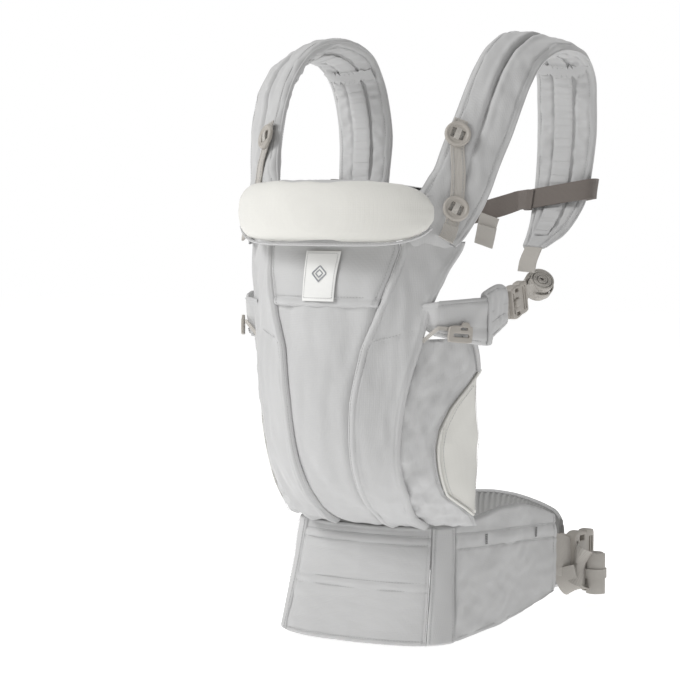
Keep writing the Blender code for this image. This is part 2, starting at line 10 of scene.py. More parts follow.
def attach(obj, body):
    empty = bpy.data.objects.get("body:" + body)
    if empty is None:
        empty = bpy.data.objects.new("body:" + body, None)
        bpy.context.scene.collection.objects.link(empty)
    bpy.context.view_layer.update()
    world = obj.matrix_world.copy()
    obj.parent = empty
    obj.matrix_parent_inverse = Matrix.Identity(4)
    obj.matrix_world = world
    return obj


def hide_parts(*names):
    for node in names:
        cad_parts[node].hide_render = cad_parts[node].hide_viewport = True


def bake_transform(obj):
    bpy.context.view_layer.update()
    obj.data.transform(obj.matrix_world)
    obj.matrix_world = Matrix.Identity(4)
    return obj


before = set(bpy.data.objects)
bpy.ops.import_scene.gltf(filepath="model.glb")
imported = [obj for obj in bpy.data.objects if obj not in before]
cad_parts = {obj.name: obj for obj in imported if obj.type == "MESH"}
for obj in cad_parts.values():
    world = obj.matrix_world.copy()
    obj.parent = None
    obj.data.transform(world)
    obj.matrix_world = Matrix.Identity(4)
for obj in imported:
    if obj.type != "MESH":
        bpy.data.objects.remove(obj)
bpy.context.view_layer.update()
MM = 0.001

# ---- the shapes that the pieces follow, millimetres ------------------------------------------
WAIST_WEB = 50.0

STRAP_WEB = 25.0

NECK_WEB = 15.0

BUTTON_D = 28.0

STRAP_W = 74.0

STRAP_T = 18.0

PANEL_T = 5.0

BODY = np.array([
    (-128, 127.5, 135, 0.5), (-160, 141, 130, 0.7), (-190, 163, 126, 0.85), (-213, 190, 124, 0.95), (-228, 224, 125, 1),
    (-234, 276, 132, 1), (-230, 335, 144, 1), (-227, 380, 148, 1), (-222, 411, 154, 1), (-213, 438, 165, 1),
    (-205, 470, 171, 1), (-199, 503, 176, 1)], float)

BELT_LOW = np.array([
    (0, -170, 0), (50, -166, 0), (90, -151, 0), (110, -122, 0), (112, -68, 0),
    (111, -8, 0), (109, 50, 2), (110, 105, 8), (114, 139, 16)], float)

BELT_HIGH = np.array([
    (0, -128, 126), (46, -125, 126), (80, -116, 127), (100, -99, 128), (107, -58, 133),
    (112, 6, 138), (113, 60, 134), (114, 105, 123), (116, 139, 112)], float)

STRAP = np.array([
    (106, -174, 454, 36, 0), (114, -156, 481, 36, 0), (122, -139, 512, 36, 0), (128, -127, 542, 34, 2),
    (134, -112, 572, 30, 6), (138, -96, 602, 24, 12), (140, -75, 630, 16, 18), (140, -40, 656, 8, 20),
    (141, 14, 670, 2, 16), (142, 71, 663, 0, 10), (141, 101, 637, 0, 4), (138, 112, 606, 0, 0),
    (136, 117, 567, 0, 0), (135, 112, 526, 0, 0), (133, 103, 490, 0, 0), (130, 80, 457, 0, 0),
    (127, 46, 436, 0, 0)], float)

def spline(points, t):
    """Catmull-Rom through the rows of points, at t from 0 to 1."""
    points = np.asarray(points, float)
    n = len(points) - 1
    x = min(max(t, 0.0), 1.0) * n
    i = min(int(x), n - 1)
    u = x - i
    p1, p2 = points[i], points[i + 1]
    p0 = points[i - 1] if i else 2 * p1 - p2
    p3 = points[i + 2] if i + 2 <= n else 2 * p2 - p1
    return 0.5 * (2 * p1 + (p2 - p0) * u + (2 * p0 - 5 * p1 + 4 * p2 - p3) * u * u
                  + (3 * p1 - p0 - 3 * p2 + p3) * u ** 3)

def unit(v):
    v = np.asarray(v, float)
    return v / np.linalg.norm(v)

def barrel(theta, t):
    """A point of the body panel: theta in degrees from the middle, t up the panel."""
    y, z, r, depth = spline(BODY, t)
    a = math.radians(theta)
    return np.array([r * math.sin(a), y + depth * r * (1 - math.cos(a)), z])

def t_at(z):
    """How far up the body panel the height z lies."""
    low, high = 0.0, 1.0
    for _ in range(40):
        mid = (low + high) / 2
        low, high = (mid, high) if spline(BODY, mid)[1] < z else (low, mid)
    return low

def lerp(table, x):
    rows = np.asarray(table, float)
    return float(np.interp(x, rows[:, 0], rows[:, 1]))

POCKET_EDGE = [(378, 26), (412, 29), (440, 28.8), (446, 28), (454, 22.5), (462, 21), (503, 21)]

CENTRE_EDGE = [(0.0, 13.5), (0.18, 14), (0.33, 15.3), (0.45, 16.4), (0.54, 19.3), (0.60, 24), (0.64, 26)]

SIDE_EDGE = [(0.0, 34), (0.1, 34.5), (0.2, 39), (0.3, 40), (0.4, 41.5), (0.5, 43.5), (0.6, 47), (0.7, 51), (0.82, 52.5)]

PAD_EDGE = [(0.09, 72), (0.14, 68), (0.20, 61), (0.30, 61.5), (0.365, 62), (0.40, 63.5), (0.44, 69), (0.48, 78.5), (0.52, 86)]

LEG_EDGE = [(0.0, 70), (0.09, 75), (0.20, 86), (0.30, 95), (0.37, 98), (0.45, 88), (0.49, 83), (0.57, 70), (0.62, 66)]

def pocket_edge(t):
    return lerp(POCKET_EDGE, spline(BODY, t)[1])

TOP_CENTRE = t_at(378)

TOP_SIDE = t_at(436)

GUSSET_TOP = t_at(336)

def gusset_edge(t):
    return lerp(PAD_EDGE, t) if 0.09 <= t <= 0.50 else lerp([(0.50, 82), (0.57, 70), (0.62, 66)], t) if t > 0.50 else lerp([(0, 66), (0.09, 72)], t)

def label_surface(s, t):
    low, high = t_at(383), t_at(437)
    p = barrel((2 * s - 1) * 7.6, low + (high - low) * t)
    return p + np.array([0, -1.3, 0])

def pillow(s, t):
    x = 125 * (2 * s - 1)
    edge = abs(2 * s - 1)
    y = -250 + 50 * (x / 125) ** 2
    half = 38.0 * (1 - 0.34 * edge ** 5)
    return np.array([x, y, 478 + half * (2 * t - 1) + 2 * (1 - edge ** 2)])

def strap_at(t):
    x, y, z, turn, tilt = spline(STRAP, t)
    a, b = math.radians(turn), math.radians(tilt)
    return np.array([x, y, z]), np.array([math.cos(a) * math.cos(b), math.sin(a) * math.cos(b), -math.sin(b)])

def strap_frame(z):
    """Centre, width direction, outward direction and run direction of the front of the strap at height z."""
    low, high = 0.0, 0.45
    for _ in range(40):
        mid = (low + high) / 2
        low, high = (mid, high) if strap_at(mid)[0][2] < z else (low, mid)
    c, a = strap_at(low)
    run = unit(strap_at(low + 0.01)[0] - strap_at(low - 0.01 if low > 0.01 else 0)[0])
    a = unit(a - run * (a @ run))
    return c, a, np.cross(a, run), run

def on_strap(z, side, lift):
    c, a, out, run = strap_frame(z)
    return c + a * side + out * lift

NECK_LINE = [(459, 18), (483.5, 11), (552.5, -18), (566, -20)]

CHEST_Z = 503.0

def chest_path(x):
    u = abs(x) / 84.0
    return np.array([x, 84 + 11 * u * u, 470 + 20.0 * u ** 1.5])

HEAD = chest_path(0)

def arm_rows():
    """Centre and width of the arm: round the outside of the panel first, then back to the buckle."""
    rows = []
    for theta, z, width in ((50, 365, 38), (58, 363, 44), (67, 361, 50), (76, 360, 54)):
        out = np.array([math.sin(math.radians(theta)), -math.cos(math.radians(theta)), 0.0])
        rows.append([*(barrel(theta, t_at(z)) + out * 6.5), width])
    return np.array(rows + [[133, -92, 362, 57], [128, -64, 367, 56], [123.5, -38, 371, 52], [122, -15, 372, 44]], float)

ARM = arm_rows()

def arm_at(t):
    row = spline(ARM, t)
    return row[:3], row[3]

BUCKLE_DIR = unit((0.0, 0.975, 0.22))

BUCKLE_UP = unit((0.0, -0.22, 0.975))

BUCKLE_OUT = np.array([1.0, 0, 0])

def buckle_point(run, up, out):
    return np.array([122.0, -11.0, 372.0]) + BUCKLE_DIR * run + BUCKLE_UP * up + BUCKLE_OUT * out

ROLL_AXIS = unit((0.62, -0.50, 0.60))

ROLL_AT = np.array([128.0, 56.5, 392.0])

def slider_frame(t):
    at, _ = arm_at(t)
    run = unit(arm_at(t + 0.03)[0] - arm_at(t - 0.03)[0])
    return at, run, unit(np.cross(run, (0, 0, 1)))

SLIDER_T = 0.165

def belt(s, t):
    low, high = spline(BELT_LOW, s), spline(BELT_HIGH, s)
    u = t + 0.06 * math.sin(math.pi * t)
    p = low + (high - low) * t
    flat = (high - low) * (u - t)
    return p + np.array([flat[0], flat[1], 0])

FRONT_END, STRIP_END, WING_START = 0.250, 0.372, 0.392

def front_belt(s, t, inset=0.0, share=1.0):
    q = (2 * s - 1) * share
    p = belt(abs(q) * FRONT_END, t)
    return np.array([math.copysign(p[0], q) if q else 0.0, p[1] + inset, p[2]])

BELT_RUN = unit((0.08, 0.997, 0.0))

BELT_OUT = unit((0.997, -0.08, 0.0))

def belt_point(run, out, up):
    return np.array([121.0, 169.5, 55.0]) + BELT_RUN * run + BELT_OUT * out + np.array([0, 0, up])

PAD = [(-108, 156, 62), (-106, 190, 62), (-92, 235, 62), (-58, 266, 62), (-8, 270, 61), (40, 248, 58), (78, 216, 56), (94, 200, 55)]

# ---- materials --------------------------------------------------------------------------------
def srgb(r, g, b):
    return tuple(((c / 255 / 12.92) if c / 255 <= 0.04045 else ((c / 255 + 0.055) / 1.055) ** 2.4) for c in (r, g, b))


def fabric(name, colour, thread=0.9, weave=0.12, rough=0.92, sheen=0.25, vary=0.05, crease=0.35):
    """Woven cloth: two sets of threads, soft creases, and a slow change of shade."""
    m = bpy.data.materials.new(name)
    m.use_nodes = True
    nt = m.node_tree
    shader = nt.nodes["Principled BSDF"]
    shader.inputs["Roughness"].default_value = rough
    shader.inputs["Sheen Weight"].default_value = sheen
    shader.inputs["Sheen Roughness"].default_value = 0.5
    shader.inputs["Specular IOR Level"].default_value = 0.18
    link = nt.links.new
    co = nt.nodes.new("ShaderNodeTexCoord")
    slow = nt.nodes.new("ShaderNodeTexNoise")
    slow.inputs["Scale"].default_value = 14.0
    slow.inputs["Detail"].default_value = 3.0
    link(co.outputs["Object"], slow.inputs["Vector"])
    fine = nt.nodes.new("ShaderNodeTexNoise")
    fine.inputs["Scale"].default_value = 900.0
    fine.inputs["Detail"].default_value = 1.0
    link(co.outputs["Object"], fine.inputs["Vector"])
    waves = []
    for axis in ("X", "Y", "Z"):
        wave = nt.nodes.new("ShaderNodeTexWave")
        wave.bands_direction = axis
        wave.inputs["Scale"].default_value = 0.314 / (thread * MM) / 2
        wave.inputs["Distortion"].default_value = 1.2
        wave.inputs["Detail"].default_value = 1.0
        link(co.outputs["Object"], wave.inputs["Vector"])
        waves.append(wave)
    add1 = nt.nodes.new("ShaderNodeMath"); add1.operation = "ADD"
    link(waves[0].outputs["Fac"], add1.inputs[0]); link(waves[1].outputs["Fac"], add1.inputs[1])
    add2 = nt.nodes.new("ShaderNodeMath"); add2.operation = "ADD"
    link(add1.outputs[0], add2.inputs[0]); link(waves[2].outputs["Fac"], add2.inputs[1])
    shade = nt.nodes.new("ShaderNodeMapRange")
    shade.inputs["To Min"].default_value = 1 - vary
    shade.inputs["To Max"].default_value = 1 + vary
    link(slow.outputs["Fac"], shade.inputs["Value"])
    grain = nt.nodes.new("ShaderNodeMapRange")
    grain.inputs["From Max"].default_value = 3.0
    grain.inputs["To Min"].default_value = 0.985
    grain.inputs["To Max"].default_value = 1.012
    link(add2.outputs[0], grain.inputs["Value"])
    both_ = nt.nodes.new("ShaderNodeMath"); both_.operation = "MULTIPLY"
    link(shade.outputs["Result"], both_.inputs[0]); link(grain.outputs["Result"], both_.inputs[1])
    tint = nt.nodes.new("ShaderNodeVectorMath"); tint.operation = "SCALE"
    tint.inputs[0].default_value = colour
    link(both_.outputs[0], tint.inputs["Scale"])
    link(tint.outputs["Vector"], shader.inputs["Base Color"])
    soft = nt.nodes.new("ShaderNodeTexNoise")
    soft.inputs["Scale"].default_value = 38.0
    soft.inputs["Detail"].default_value = 2.5
    link(co.outputs["Object"], soft.inputs["Vector"])
    b1 = nt.nodes.new("ShaderNodeBump")
    b1.inputs["Strength"].default_value = crease
    b1.inputs["Distance"].default_value = 0.0022
    link(soft.outputs["Fac"], b1.inputs["Height"])
    b2 = nt.nodes.new("ShaderNodeBump")
    b2.inputs["Strength"].default_value = weave
    b2.inputs["Distance"].default_value = 0.0003
    link(add2.outputs[0], b2.inputs["Height"]); link(b1.outputs["Normal"], b2.inputs["Normal"])
    link(b2.outputs["Normal"], shader.inputs["Normal"])
    return m


def webbing(name, colour, rib=1.5, rough=0.8):
    """Ribbed webbing: fine cords along its length, crossed by close weft, from the length and width in millimetres."""
    m = bpy.data.materials.new(name)
    m.use_nodes = True
    nt = m.node_tree
    shader = nt.nodes["Principled BSDF"]
    shader.inputs["Roughness"].default_value = rough
    shader.inputs["Sheen Weight"].default_value = 0.15
    shader.inputs["Specular IOR Level"].default_value = 0.25
    link = nt.links.new
    uv = nt.nodes.new("ShaderNodeUVMap")
    uv.uv_map = "UVMap"
    across = nt.nodes.new("ShaderNodeTexWave")
    across.bands_direction = "X"
    across.inputs["Scale"].default_value = 0.314 / rib
    along = nt.nodes.new("ShaderNodeTexWave")
    along.bands_direction = "Y"
    along.inputs["Scale"].default_value = 0.314 / 1.1
    along.inputs["Distortion"].default_value = 0.6
    for wave in (across, along):
        link(uv.outputs["UV"], wave.inputs["Vector"])
    mul = nt.nodes.new("ShaderNodeMath"); mul.operation = "ADD"
    link(across.outputs["Fac"], mul.inputs[0]); link(along.outputs["Fac"], mul.inputs[1])
    shade = nt.nodes.new("ShaderNodeMapRange")
    shade.inputs["From Max"].default_value = 2.0
    shade.inputs["To Min"].default_value = 0.84
    shade.inputs["To Max"].default_value = 1.08
    link(mul.outputs[0], shade.inputs["Value"])
    tint = nt.nodes.new("ShaderNodeVectorMath"); tint.operation = "SCALE"
    tint.inputs[0].default_value = colour
    link(shade.outputs["Result"], tint.inputs["Scale"])
    link(tint.outputs["Vector"], shader.inputs["Base Color"])
    bump = nt.nodes.new("ShaderNodeBump")
    bump.inputs["Strength"].default_value = 0.5
    bump.inputs["Distance"].default_value = 0.0004
    link(mul.outputs[0], bump.inputs["Height"])
    link(bump.outputs["Normal"], shader.inputs["Normal"])
    return m


def plastic(name, colour, rough=0.42):
    m = bpy.data.materials.new(name)
    m.use_nodes = True
    nt = m.node_tree
    shader = nt.nodes["Principled BSDF"]
    shader.inputs["Specular IOR Level"].default_value = 0.45
    link = nt.links.new
    co = nt.nodes.new("ShaderNodeTexCoord")
    grain = nt.nodes.new("ShaderNodeTexNoise")
    grain.inputs["Scale"].default_value = 1400.0
    link(co.outputs["Object"], grain.inputs["Vector"])
    slow = nt.nodes.new("ShaderNodeTexNoise")
    slow.inputs["Scale"].default_value = 60.0
    link(co.outputs["Object"], slow.inputs["Vector"])
    r = nt.nodes.new("ShaderNodeMapRange")
    r.inputs["To Min"].default_value = rough - 0.07
    r.inputs["To Max"].default_value = rough + 0.09
    link(slow.outputs["Fac"], r.inputs["Value"])
    link(r.outputs["Result"], shader.inputs["Roughness"])
    c = nt.nodes.new("ShaderNodeMapRange")
    c.inputs["To Min"].default_value = 0.96
    c.inputs["To Max"].default_value = 1.04
    link(slow.outputs["Fac"], c.inputs["Value"])
    tint = nt.nodes.new("ShaderNodeVectorMath"); tint.operation = "SCALE"
    tint.inputs[0].default_value = colour
    link(c.outputs["Result"], tint.inputs["Scale"])
    link(tint.outputs["Vector"], shader.inputs["Base Color"])
    bump = nt.nodes.new("ShaderNodeBump")
    bump.inputs["Strength"].default_value = 0.12
    bump.inputs["Distance"].default_value = 0.0002
    link(grain.outputs["Fac"], bump.inputs["Height"])
    link(bump.outputs["Normal"], shader.inputs["Normal"])
    return m


M_GREY = fabric("pearl_grey_cotton", srgb(188, 188, 188))
# the grey cotton again, painted darker as shade for the lumbar pad and for the lining and seam tape inside the belt
M_GREY_SHADED = fabric("pearl_grey_painted_shade", srgb(160, 160, 159), crease=0.5)
M_CREAM = fabric("cream_cotton", srgb(212, 211, 206), sheen=0.3, crease=0.3, vary=0.03)
M_WEB = webbing("greige_webbing", srgb(187, 183, 177))
M_TAUPE = webbing("taupe_webbing", srgb(118, 111, 106))
M_PLASTIC = plastic("greige_plastic", srgb(170, 165, 158))
M_THREAD = fabric("sewing_thread", srgb(172, 172, 172), thread=0.4, crease=0.0)
M_SEAM = fabric("seam_shadow_thread", srgb(130, 130, 130), thread=0.4, crease=0.0)
M_LABEL = fabric("woven_label", srgb(226, 226, 224), thread=0.5, weave=0.1, crease=0.1, vary=0.01)
M_MARK = fabric("label_thread", srgb(150, 152, 156), thread=0.4, crease=0.0)


# ---- mesh helpers -------------------------------------------------------------------------------
def make(name, verts, faces, mat, body, bends=False, uv=None, flip_x=False, replaces=(), sharp=50):
    """A piece from points in millimetres; flip_x makes it for the other side."""
    verts = np.asarray(verts, float) * MM
    if flip_x:
        verts = verts * np.array([-1.0, 1, 1])
        faces = [tuple(reversed(f)) for f in faces]
    mesh = bpy.data.meshes.new(name)
    mesh.from_pydata(verts.tolist(), [], [tuple(int(i) for i in f) for f in faces])
    if uv is not None:
        layer = mesh.uv_layers.new(name="UVMap")
        index = np.empty(len(mesh.loops), np.int32)
        mesh.loops.foreach_get("vertex_index", index)
        layer.data.foreach_set("uv", np.asarray(uv, np.float32)[index].reshape(-1))
    mesh.materials.append(mat)
    mesh.validate()
    bm = bmesh.new()
    bm.from_mesh(mesh)
    bmesh.ops.remove_doubles(bm, verts=bm.verts, dist=1e-6)
    bmesh.ops.recalc_face_normals(bm, faces=bm.faces)
    bm.to_mesh(mesh)
    bm.free()
    mesh.shade_smooth()
    mesh.set_sharp_from_angle(angle=math.radians(sharp))
    obj = bpy.data.objects.new(name, mesh)
    bpy.context.scene.collection.objects.link(obj)
    if bends:
        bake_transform(obj)
    else:
        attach(obj, body)
    if replaces:
        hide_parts(*replaces)
    return obj


def dense(n, power=0.5):
    """n + 1 values from 0 to 1, closer together at both ends."""
    u = np.linspace(0, 1, n + 1)
    return (1 - power) * u + power * 0.5 * (1 - np.cos(math.pi * u))


def grid_of(surface, s, t, level=False):
    g = np.array([[surface(a, b) for b in t] for a in s])
    n = np.cross(np.gradient(g, axis=0), np.gradient(g, axis=1))
    if level:
        n[..., 2] *= 0.0
    n /= np.maximum(np.linalg.norm(n, axis=2, keepdims=True), 1e-9)
    return g, n


def runs(g, axis):
    step = np.linalg.norm(np.diff(g, axis=axis), axis=2)
    zero = np.zeros_like(step[:1] if axis == 0 else step[:, :1])
    d = np.concatenate([zero, np.cumsum(step, axis=axis)], axis=axis)
    return d, (d[-1:] if axis == 0 else d[:, -1:]) - d


def dome(d, r):
    return np.sqrt(np.maximum(0.0, 1 - (1 - np.clip(d / r, 0, 1)) ** 2))


def groove(d, at, depth=0.7, wide=0.9):
    return -depth * np.exp(-((d - at) / wide) ** 2)


def ripple(g, scale, stretch, amount, seed):
    """Soft unevenness of fabric over a grid: stretch gives the size of a fold along x, y and z."""
    out = np.empty(g.shape[:2])
    for i in range(g.shape[0]):
        for j in range(g.shape[1]):
            p = g[i, j] / scale / np.asarray(stretch)
            out[i, j] = noise.noise(Vector((p[0] + seed, p[1] - seed, p[2] + 2 * seed)))
    return out * amount


def panel(name, surface, ns, nt, thick, mat, body, relief=None, r=(3, 3, 3, 3), raised=0.0, level=False, **more):
    """A sewn panel: rounded rims, its relief added along the outward normal, thick towards the wearer."""
    s, t = dense(ns), dense(nt, 0.3)
    g, n = grid_of(surface, s, t, level)
    a, b = runs(g, 0)
    c, d = runs(g, 1)
    rim = np.ones(g.shape[:2])
    for dist, radius in ((a, r[0]), (b, r[1]), (c, r[2]), (d, r[3])):
        if radius:
            rim = np.minimum(rim, dome(dist, radius))
    high = (rim - 1) * thick / 2 + raised
    if relief:
        high = high + relief(a, b, c, d, g) * np.minimum(1, rim + 0.15)
    front = g + n * high[..., None]
    back = g - n * (thick - (1 - rim) * thick / 2 - raised)[..., None]
    w, h = g.shape[1], g.shape[0]
    k = w * h
    verts = np.concatenate([front.reshape(-1, 3), back.reshape(-1, 3)])
    faces = []
    for i in range(h - 1):
        for j in range(w - 1):
            q = (i * w + j, (i + 1) * w + j, (i + 1) * w + j + 1, i * w + j + 1)
            faces.append(q)
            faces.append(tuple(k + x for x in reversed(q)))
    for i in range(h - 1):
        for j in (0, w - 1):
            q = (i * w + j, (i + 1) * w + j, k + (i + 1) * w + j, k + i * w + j)
            faces.append(q)
    for j in range(w - 1):
        for i in (0, h - 1):
            q = (i * w + j, i * w + j + 1, k + i * w + j + 1, k + i * w + j)
            faces.append(q)
    return make(name, verts, faces, mat, body, **more)


def loft(name, rings, mat, body, closed=False, uv=None, **more):
    """A closed skin over rings of points, capped at its ends."""
    rings = np.asarray(rings, float)
    n, k = rings.shape[:2]
    verts = list(rings.reshape(-1, 3))
    faces = []
    for i in range(n if closed else n - 1):
        j = (i + 1) % n
        for m in range(k):
            m2 = (m + 1) % k
            faces.append((i * k + m, i * k + m2, j * k + m2, j * k + m))
    if not closed:
        for i, order in ((0, 1), (n - 1, -1)):
            verts.append(rings[i].mean(axis=0))
            c = len(verts) - 1
            for m in range(k):
                faces.append((i * k + m, c, i * k + (m + 1) % k)[::order])
        if uv is not None:
            uv = np.concatenate([uv, uv[:1], uv[-1:]])
    return make(name, verts, faces, mat, body, uv=uv, **more)


def frames(points, across, closed=False):
    points = np.asarray(points, float)
    tan = (np.roll(points, -1, 0) - np.roll(points, 1, 0)) if closed else np.gradient(points, axis=0)
    tan /= np.linalg.norm(tan, axis=1, keepdims=True)
    a = np.broadcast_to(np.asarray(across, float), points.shape)
    a = a - tan * np.sum(a * tan, axis=1, keepdims=True)
    a /= np.linalg.norm(a, axis=1, keepdims=True)
    return tan, a, np.cross(tan, a)


def web(name, points, across, width, thick, mat, body, closed=False, **more):
    """Flat webbing with rolled edges along points."""
    points = np.asarray(points, float)
    tan, a, up = frames(points, across, closed)
    width = np.broadcast_to(width, len(points))
    prof = [(-0.5, -0.25), (-0.485, -0.5), (-0.25, -0.5), (0, -0.5), (0.25, -0.5), (0.485, -0.5), (0.5, -0.25),
            (0.5, 0.25), (0.485, 0.5), (0.25, 0.5), (0, 0.5), (-0.25, 0.5), (-0.485, 0.5), (-0.5, 0.25)]
    rings, uv, run = [], [], 0.0
    for i, p in enumerate(points):
        run += np.linalg.norm(p - points[i - 1]) if i else 0
        rings.append([p + a[i] * x * width[i] + up[i] * y * thick for x, y in prof])
        uv += [(x * width[i], run) for x, y in prof]
    return loft(name, rings, mat, body, closed, uv=np.array(uv), **more)


def cord(name, points, radius, mat, body, closed=False, sides=8, **more):
    points = np.asarray(points, float)
    tan = (np.roll(points, -1, 0) - np.roll(points, 1, 0)) if closed else np.gradient(points, axis=0)
    ref = np.array([0.13, 0.27, 1.0])
    if np.mean(np.abs(tan[:, 2]) / np.linalg.norm(tan, axis=1)) > 0.8:
        ref = np.array([1.0, 0.3, 0.1])
    tan, a, up = frames(points, ref, closed)
    radius = np.broadcast_to(radius, len(points))
    ang = np.linspace(0, 2 * math.pi, sides, endpoint=False)
    rings = [[p + (a[i] * math.cos(q) + up[i] * math.sin(q)) * radius[i] for q in ang] for i, p in enumerate(points)]
    return loft(name, rings, mat, body, closed, **more)


def resample(points, step):
    points = np.asarray(points, float)
    d = np.concatenate([[0], np.cumsum(np.linalg.norm(np.diff(points, axis=0), axis=1))])
    n = max(2, int(d[-1] / step))
    q = np.linspace(0, d[-1], n + 1)
    return np.stack([np.interp(q, d, points[:, i]) for i in range(3)], axis=1)


def stitched(name, lines, mat, body, pitch=3.4, length=2.4, radius=0.42, **more):
    """Sewing: short threads end to end along each line of points."""
    verts, faces = [], []
    for line in lines:
        line = resample(line, pitch)
        for p, q in zip(line[:-1], line[1:]):
            d = q - p
            if np.linalg.norm(d) < 0.5:
                continue
            d = d / np.linalg.norm(d)
            a = np.cross(d, (0.31, 0.2, 0.93)); a /= np.linalg.norm(a)
            b = np.cross(d, a)
            base = len(verts)
            for at, rad in ((0, 0.45), (0.3, 1), (0.7, 1), (1, 0.45)):
                for m in range(5):
                    q5 = 2 * math.pi * m / 5
                    verts.append(p + d * length * at + (a * math.cos(q5) + b * math.sin(q5)) * radius * rad)
            for i in range(3):
                for m in range(5):
                    m2 = (m + 1) % 5
                    faces.append((base + i * 5 + m, base + i * 5 + m2, base + (i + 1) * 5 + m2, base + (i + 1) * 5 + m))
            faces.append(tuple(base + m for m in range(5)))
            faces.append(tuple(base + 15 + m for m in range(5)))
    return make(name, verts, faces, mat, body, **more)


def on(surface, points, lift):
    """A line over a surface: points are (s, t), lift is millimetres along the outward normal."""
    out = []
    for s, t in points:
        e = 0.004
        s0, s1, t0, t1 = max(0, s - e), min(1, s + e), max(0, t - e), min(1, t + e)
        n = np.cross(surface(s1, t) - surface(s0, t), surface(s, t1) - surface(s, t0))
        out.append(surface(s, t) + n / np.linalg.norm(n) * lift)
    return np.array(out)


def inset_line(surface, side, mm, lift, n=60, lo=0.0, hi=1.0):
    """The line mm inside the edge s = 0 or s = 1 of a surface."""
    pts = []
    for t in np.linspace(lo, hi, n):
        width = np.linalg.norm(surface(1, t) - surface(0, t)) * 1.02
        u = min(0.5, mm / max(width, 1))
        pts.append((u if side == 0 else 1 - u, t))
    return on(surface, pts, lift)


def each(side_fn):
    for side, flip in (("right", False), ("left", True)):
        side_fn(side, flip)

CAR = "carrier"


# ---- seat panel ---------------------------------------------------------------------------------
def centre(s, t):
    z = t * (TOP_CENTRE + 0.02)
    return barrel((2 * s - 1) * (lerp(CENTRE_EDGE, z) + 0.9), z)


def centre_relief(a, b, c, d, g):
    edge = np.minimum(a, b)
    low = ripple(g, 26, (1, 1, 3.6), 3.2, 3.1) + ripple(g, 11, (1, 1, 2.6), 0.9, 9.0)
    return low * np.clip(edge / 12, 0.25, 1) - 2.2 * np.exp(-(edge / 6) ** 2) + groove(c, 3.2, 0.7)


panel("seat_centre", centre, 44, 90, 4.4, M_GREY, CAR, centre_relief, (2, 2, 2.5, 2), replaces=("body_centre_panel",))


SIDE_TOP = t_at(447)


def side_in(t):
    z = t * SIDE_TOP
    return lerp(CENTRE_EDGE, z) if z < TOP_CENTRE + 0.003 else pocket_edge(z)


def side_right(s, t):
    z = t * SIDE_TOP
    return barrel((side_in(t) + 0.1) * (1 - s) + (lerp(SIDE_EDGE, z) + 0.9) * s, z)


def side_relief(a, b, c, d, g):
    fold = ripple(g, 30, (1, 1, 2.6), 3.6, 5.7) + ripple(g, 12, (0.8, 0.8, 2.4), 1.2, 1.3)
    seam = g[..., 2] - (334 + (a / np.maximum(a + b, 1)) * 20)
    pull = 0.9 * np.sin(a / 3.6) * np.exp(-(b / 26) ** 2) * np.exp(-((g[..., 2] - 336) / 26) ** 2)
    return (fold * np.clip(np.minimum(a, b) / 10, 0.2, 1) + 2.4 * np.exp(-((a - 5) / 5) ** 2) + 2.8 * np.exp(-((b - 6) / 6) ** 2)
            + groove(a, 2.2, 0.9, 0.7) + groove(a, 8.2, 1.0, 0.9) + groove(b, 7.5, 0.8) + groove(seam, 0, 1.0, 1.0) + pull
            + groove(c, 4, 0.8) + 0.7 * np.clip(seam / 3, 0, 1))


def build_side(side, flip):
    panel("seat_side_" + side, side_right, 44, 110, 5.2, M_GREY, CAR, side_relief, (4, 5, 3, 2), 1.6,
          flip_x=flip, replaces=("body_side_panel_" + side,))
    seam = [(s, 0) for s in np.linspace(0.02, 0.97, 30)]
    pts = []
    for s, _ in seam:
        z = 334 + s * 20
        pts.append((s, t_at(z) / SIDE_TOP))
    lines = [inset_line(side_right, 0, 2.0, 2.3, 100), inset_line(side_right, 0, 8.2, 2.1, 100), inset_line(side_right, 1, 7.2, 2.2, 90, 0, 0.97),
             on(side_right, [(s, t + 0.006) for s, t in pts], 2.2)]
    stitched("seat_side_stitching_" + side, lines, M_THREAD, CAR, flip_x=flip)


each(build_side)


def gusset(s, t):
    z = t * GUSSET_TOP * 1.02
    return barrel((lerp(SIDE_EDGE, z) - 2.2) * (1 - s) + (gusset_edge(z) - 0.4) * s, z)


def gusset_relief(a, b, c, d, g):
    fold = ripple(g, 17, (0.8, 0.8, 2.0), 4.2, 12.2) + ripple(g, 8, (0.7, 0.7, 1.4), 1.5, 2.2)
    pull = 0.9 * np.sin(c / 4.6 + a / 9) * np.exp(-(a / 16) ** 2)
    return (fold + pull) * np.clip(b / 9, 0.15, 1) + groove(b, 4.5, 0.8) - 2.4 * np.exp(-(a / 9) ** 2) - 1.2


def leg(s, t):
    z = 0.10 + t * 0.40
    inner = gusset_edge(z)
    return barrel((inner + 0.5) * (1 - s) + max(lerp(LEG_EDGE, z), inner + 4.2) * s, z)


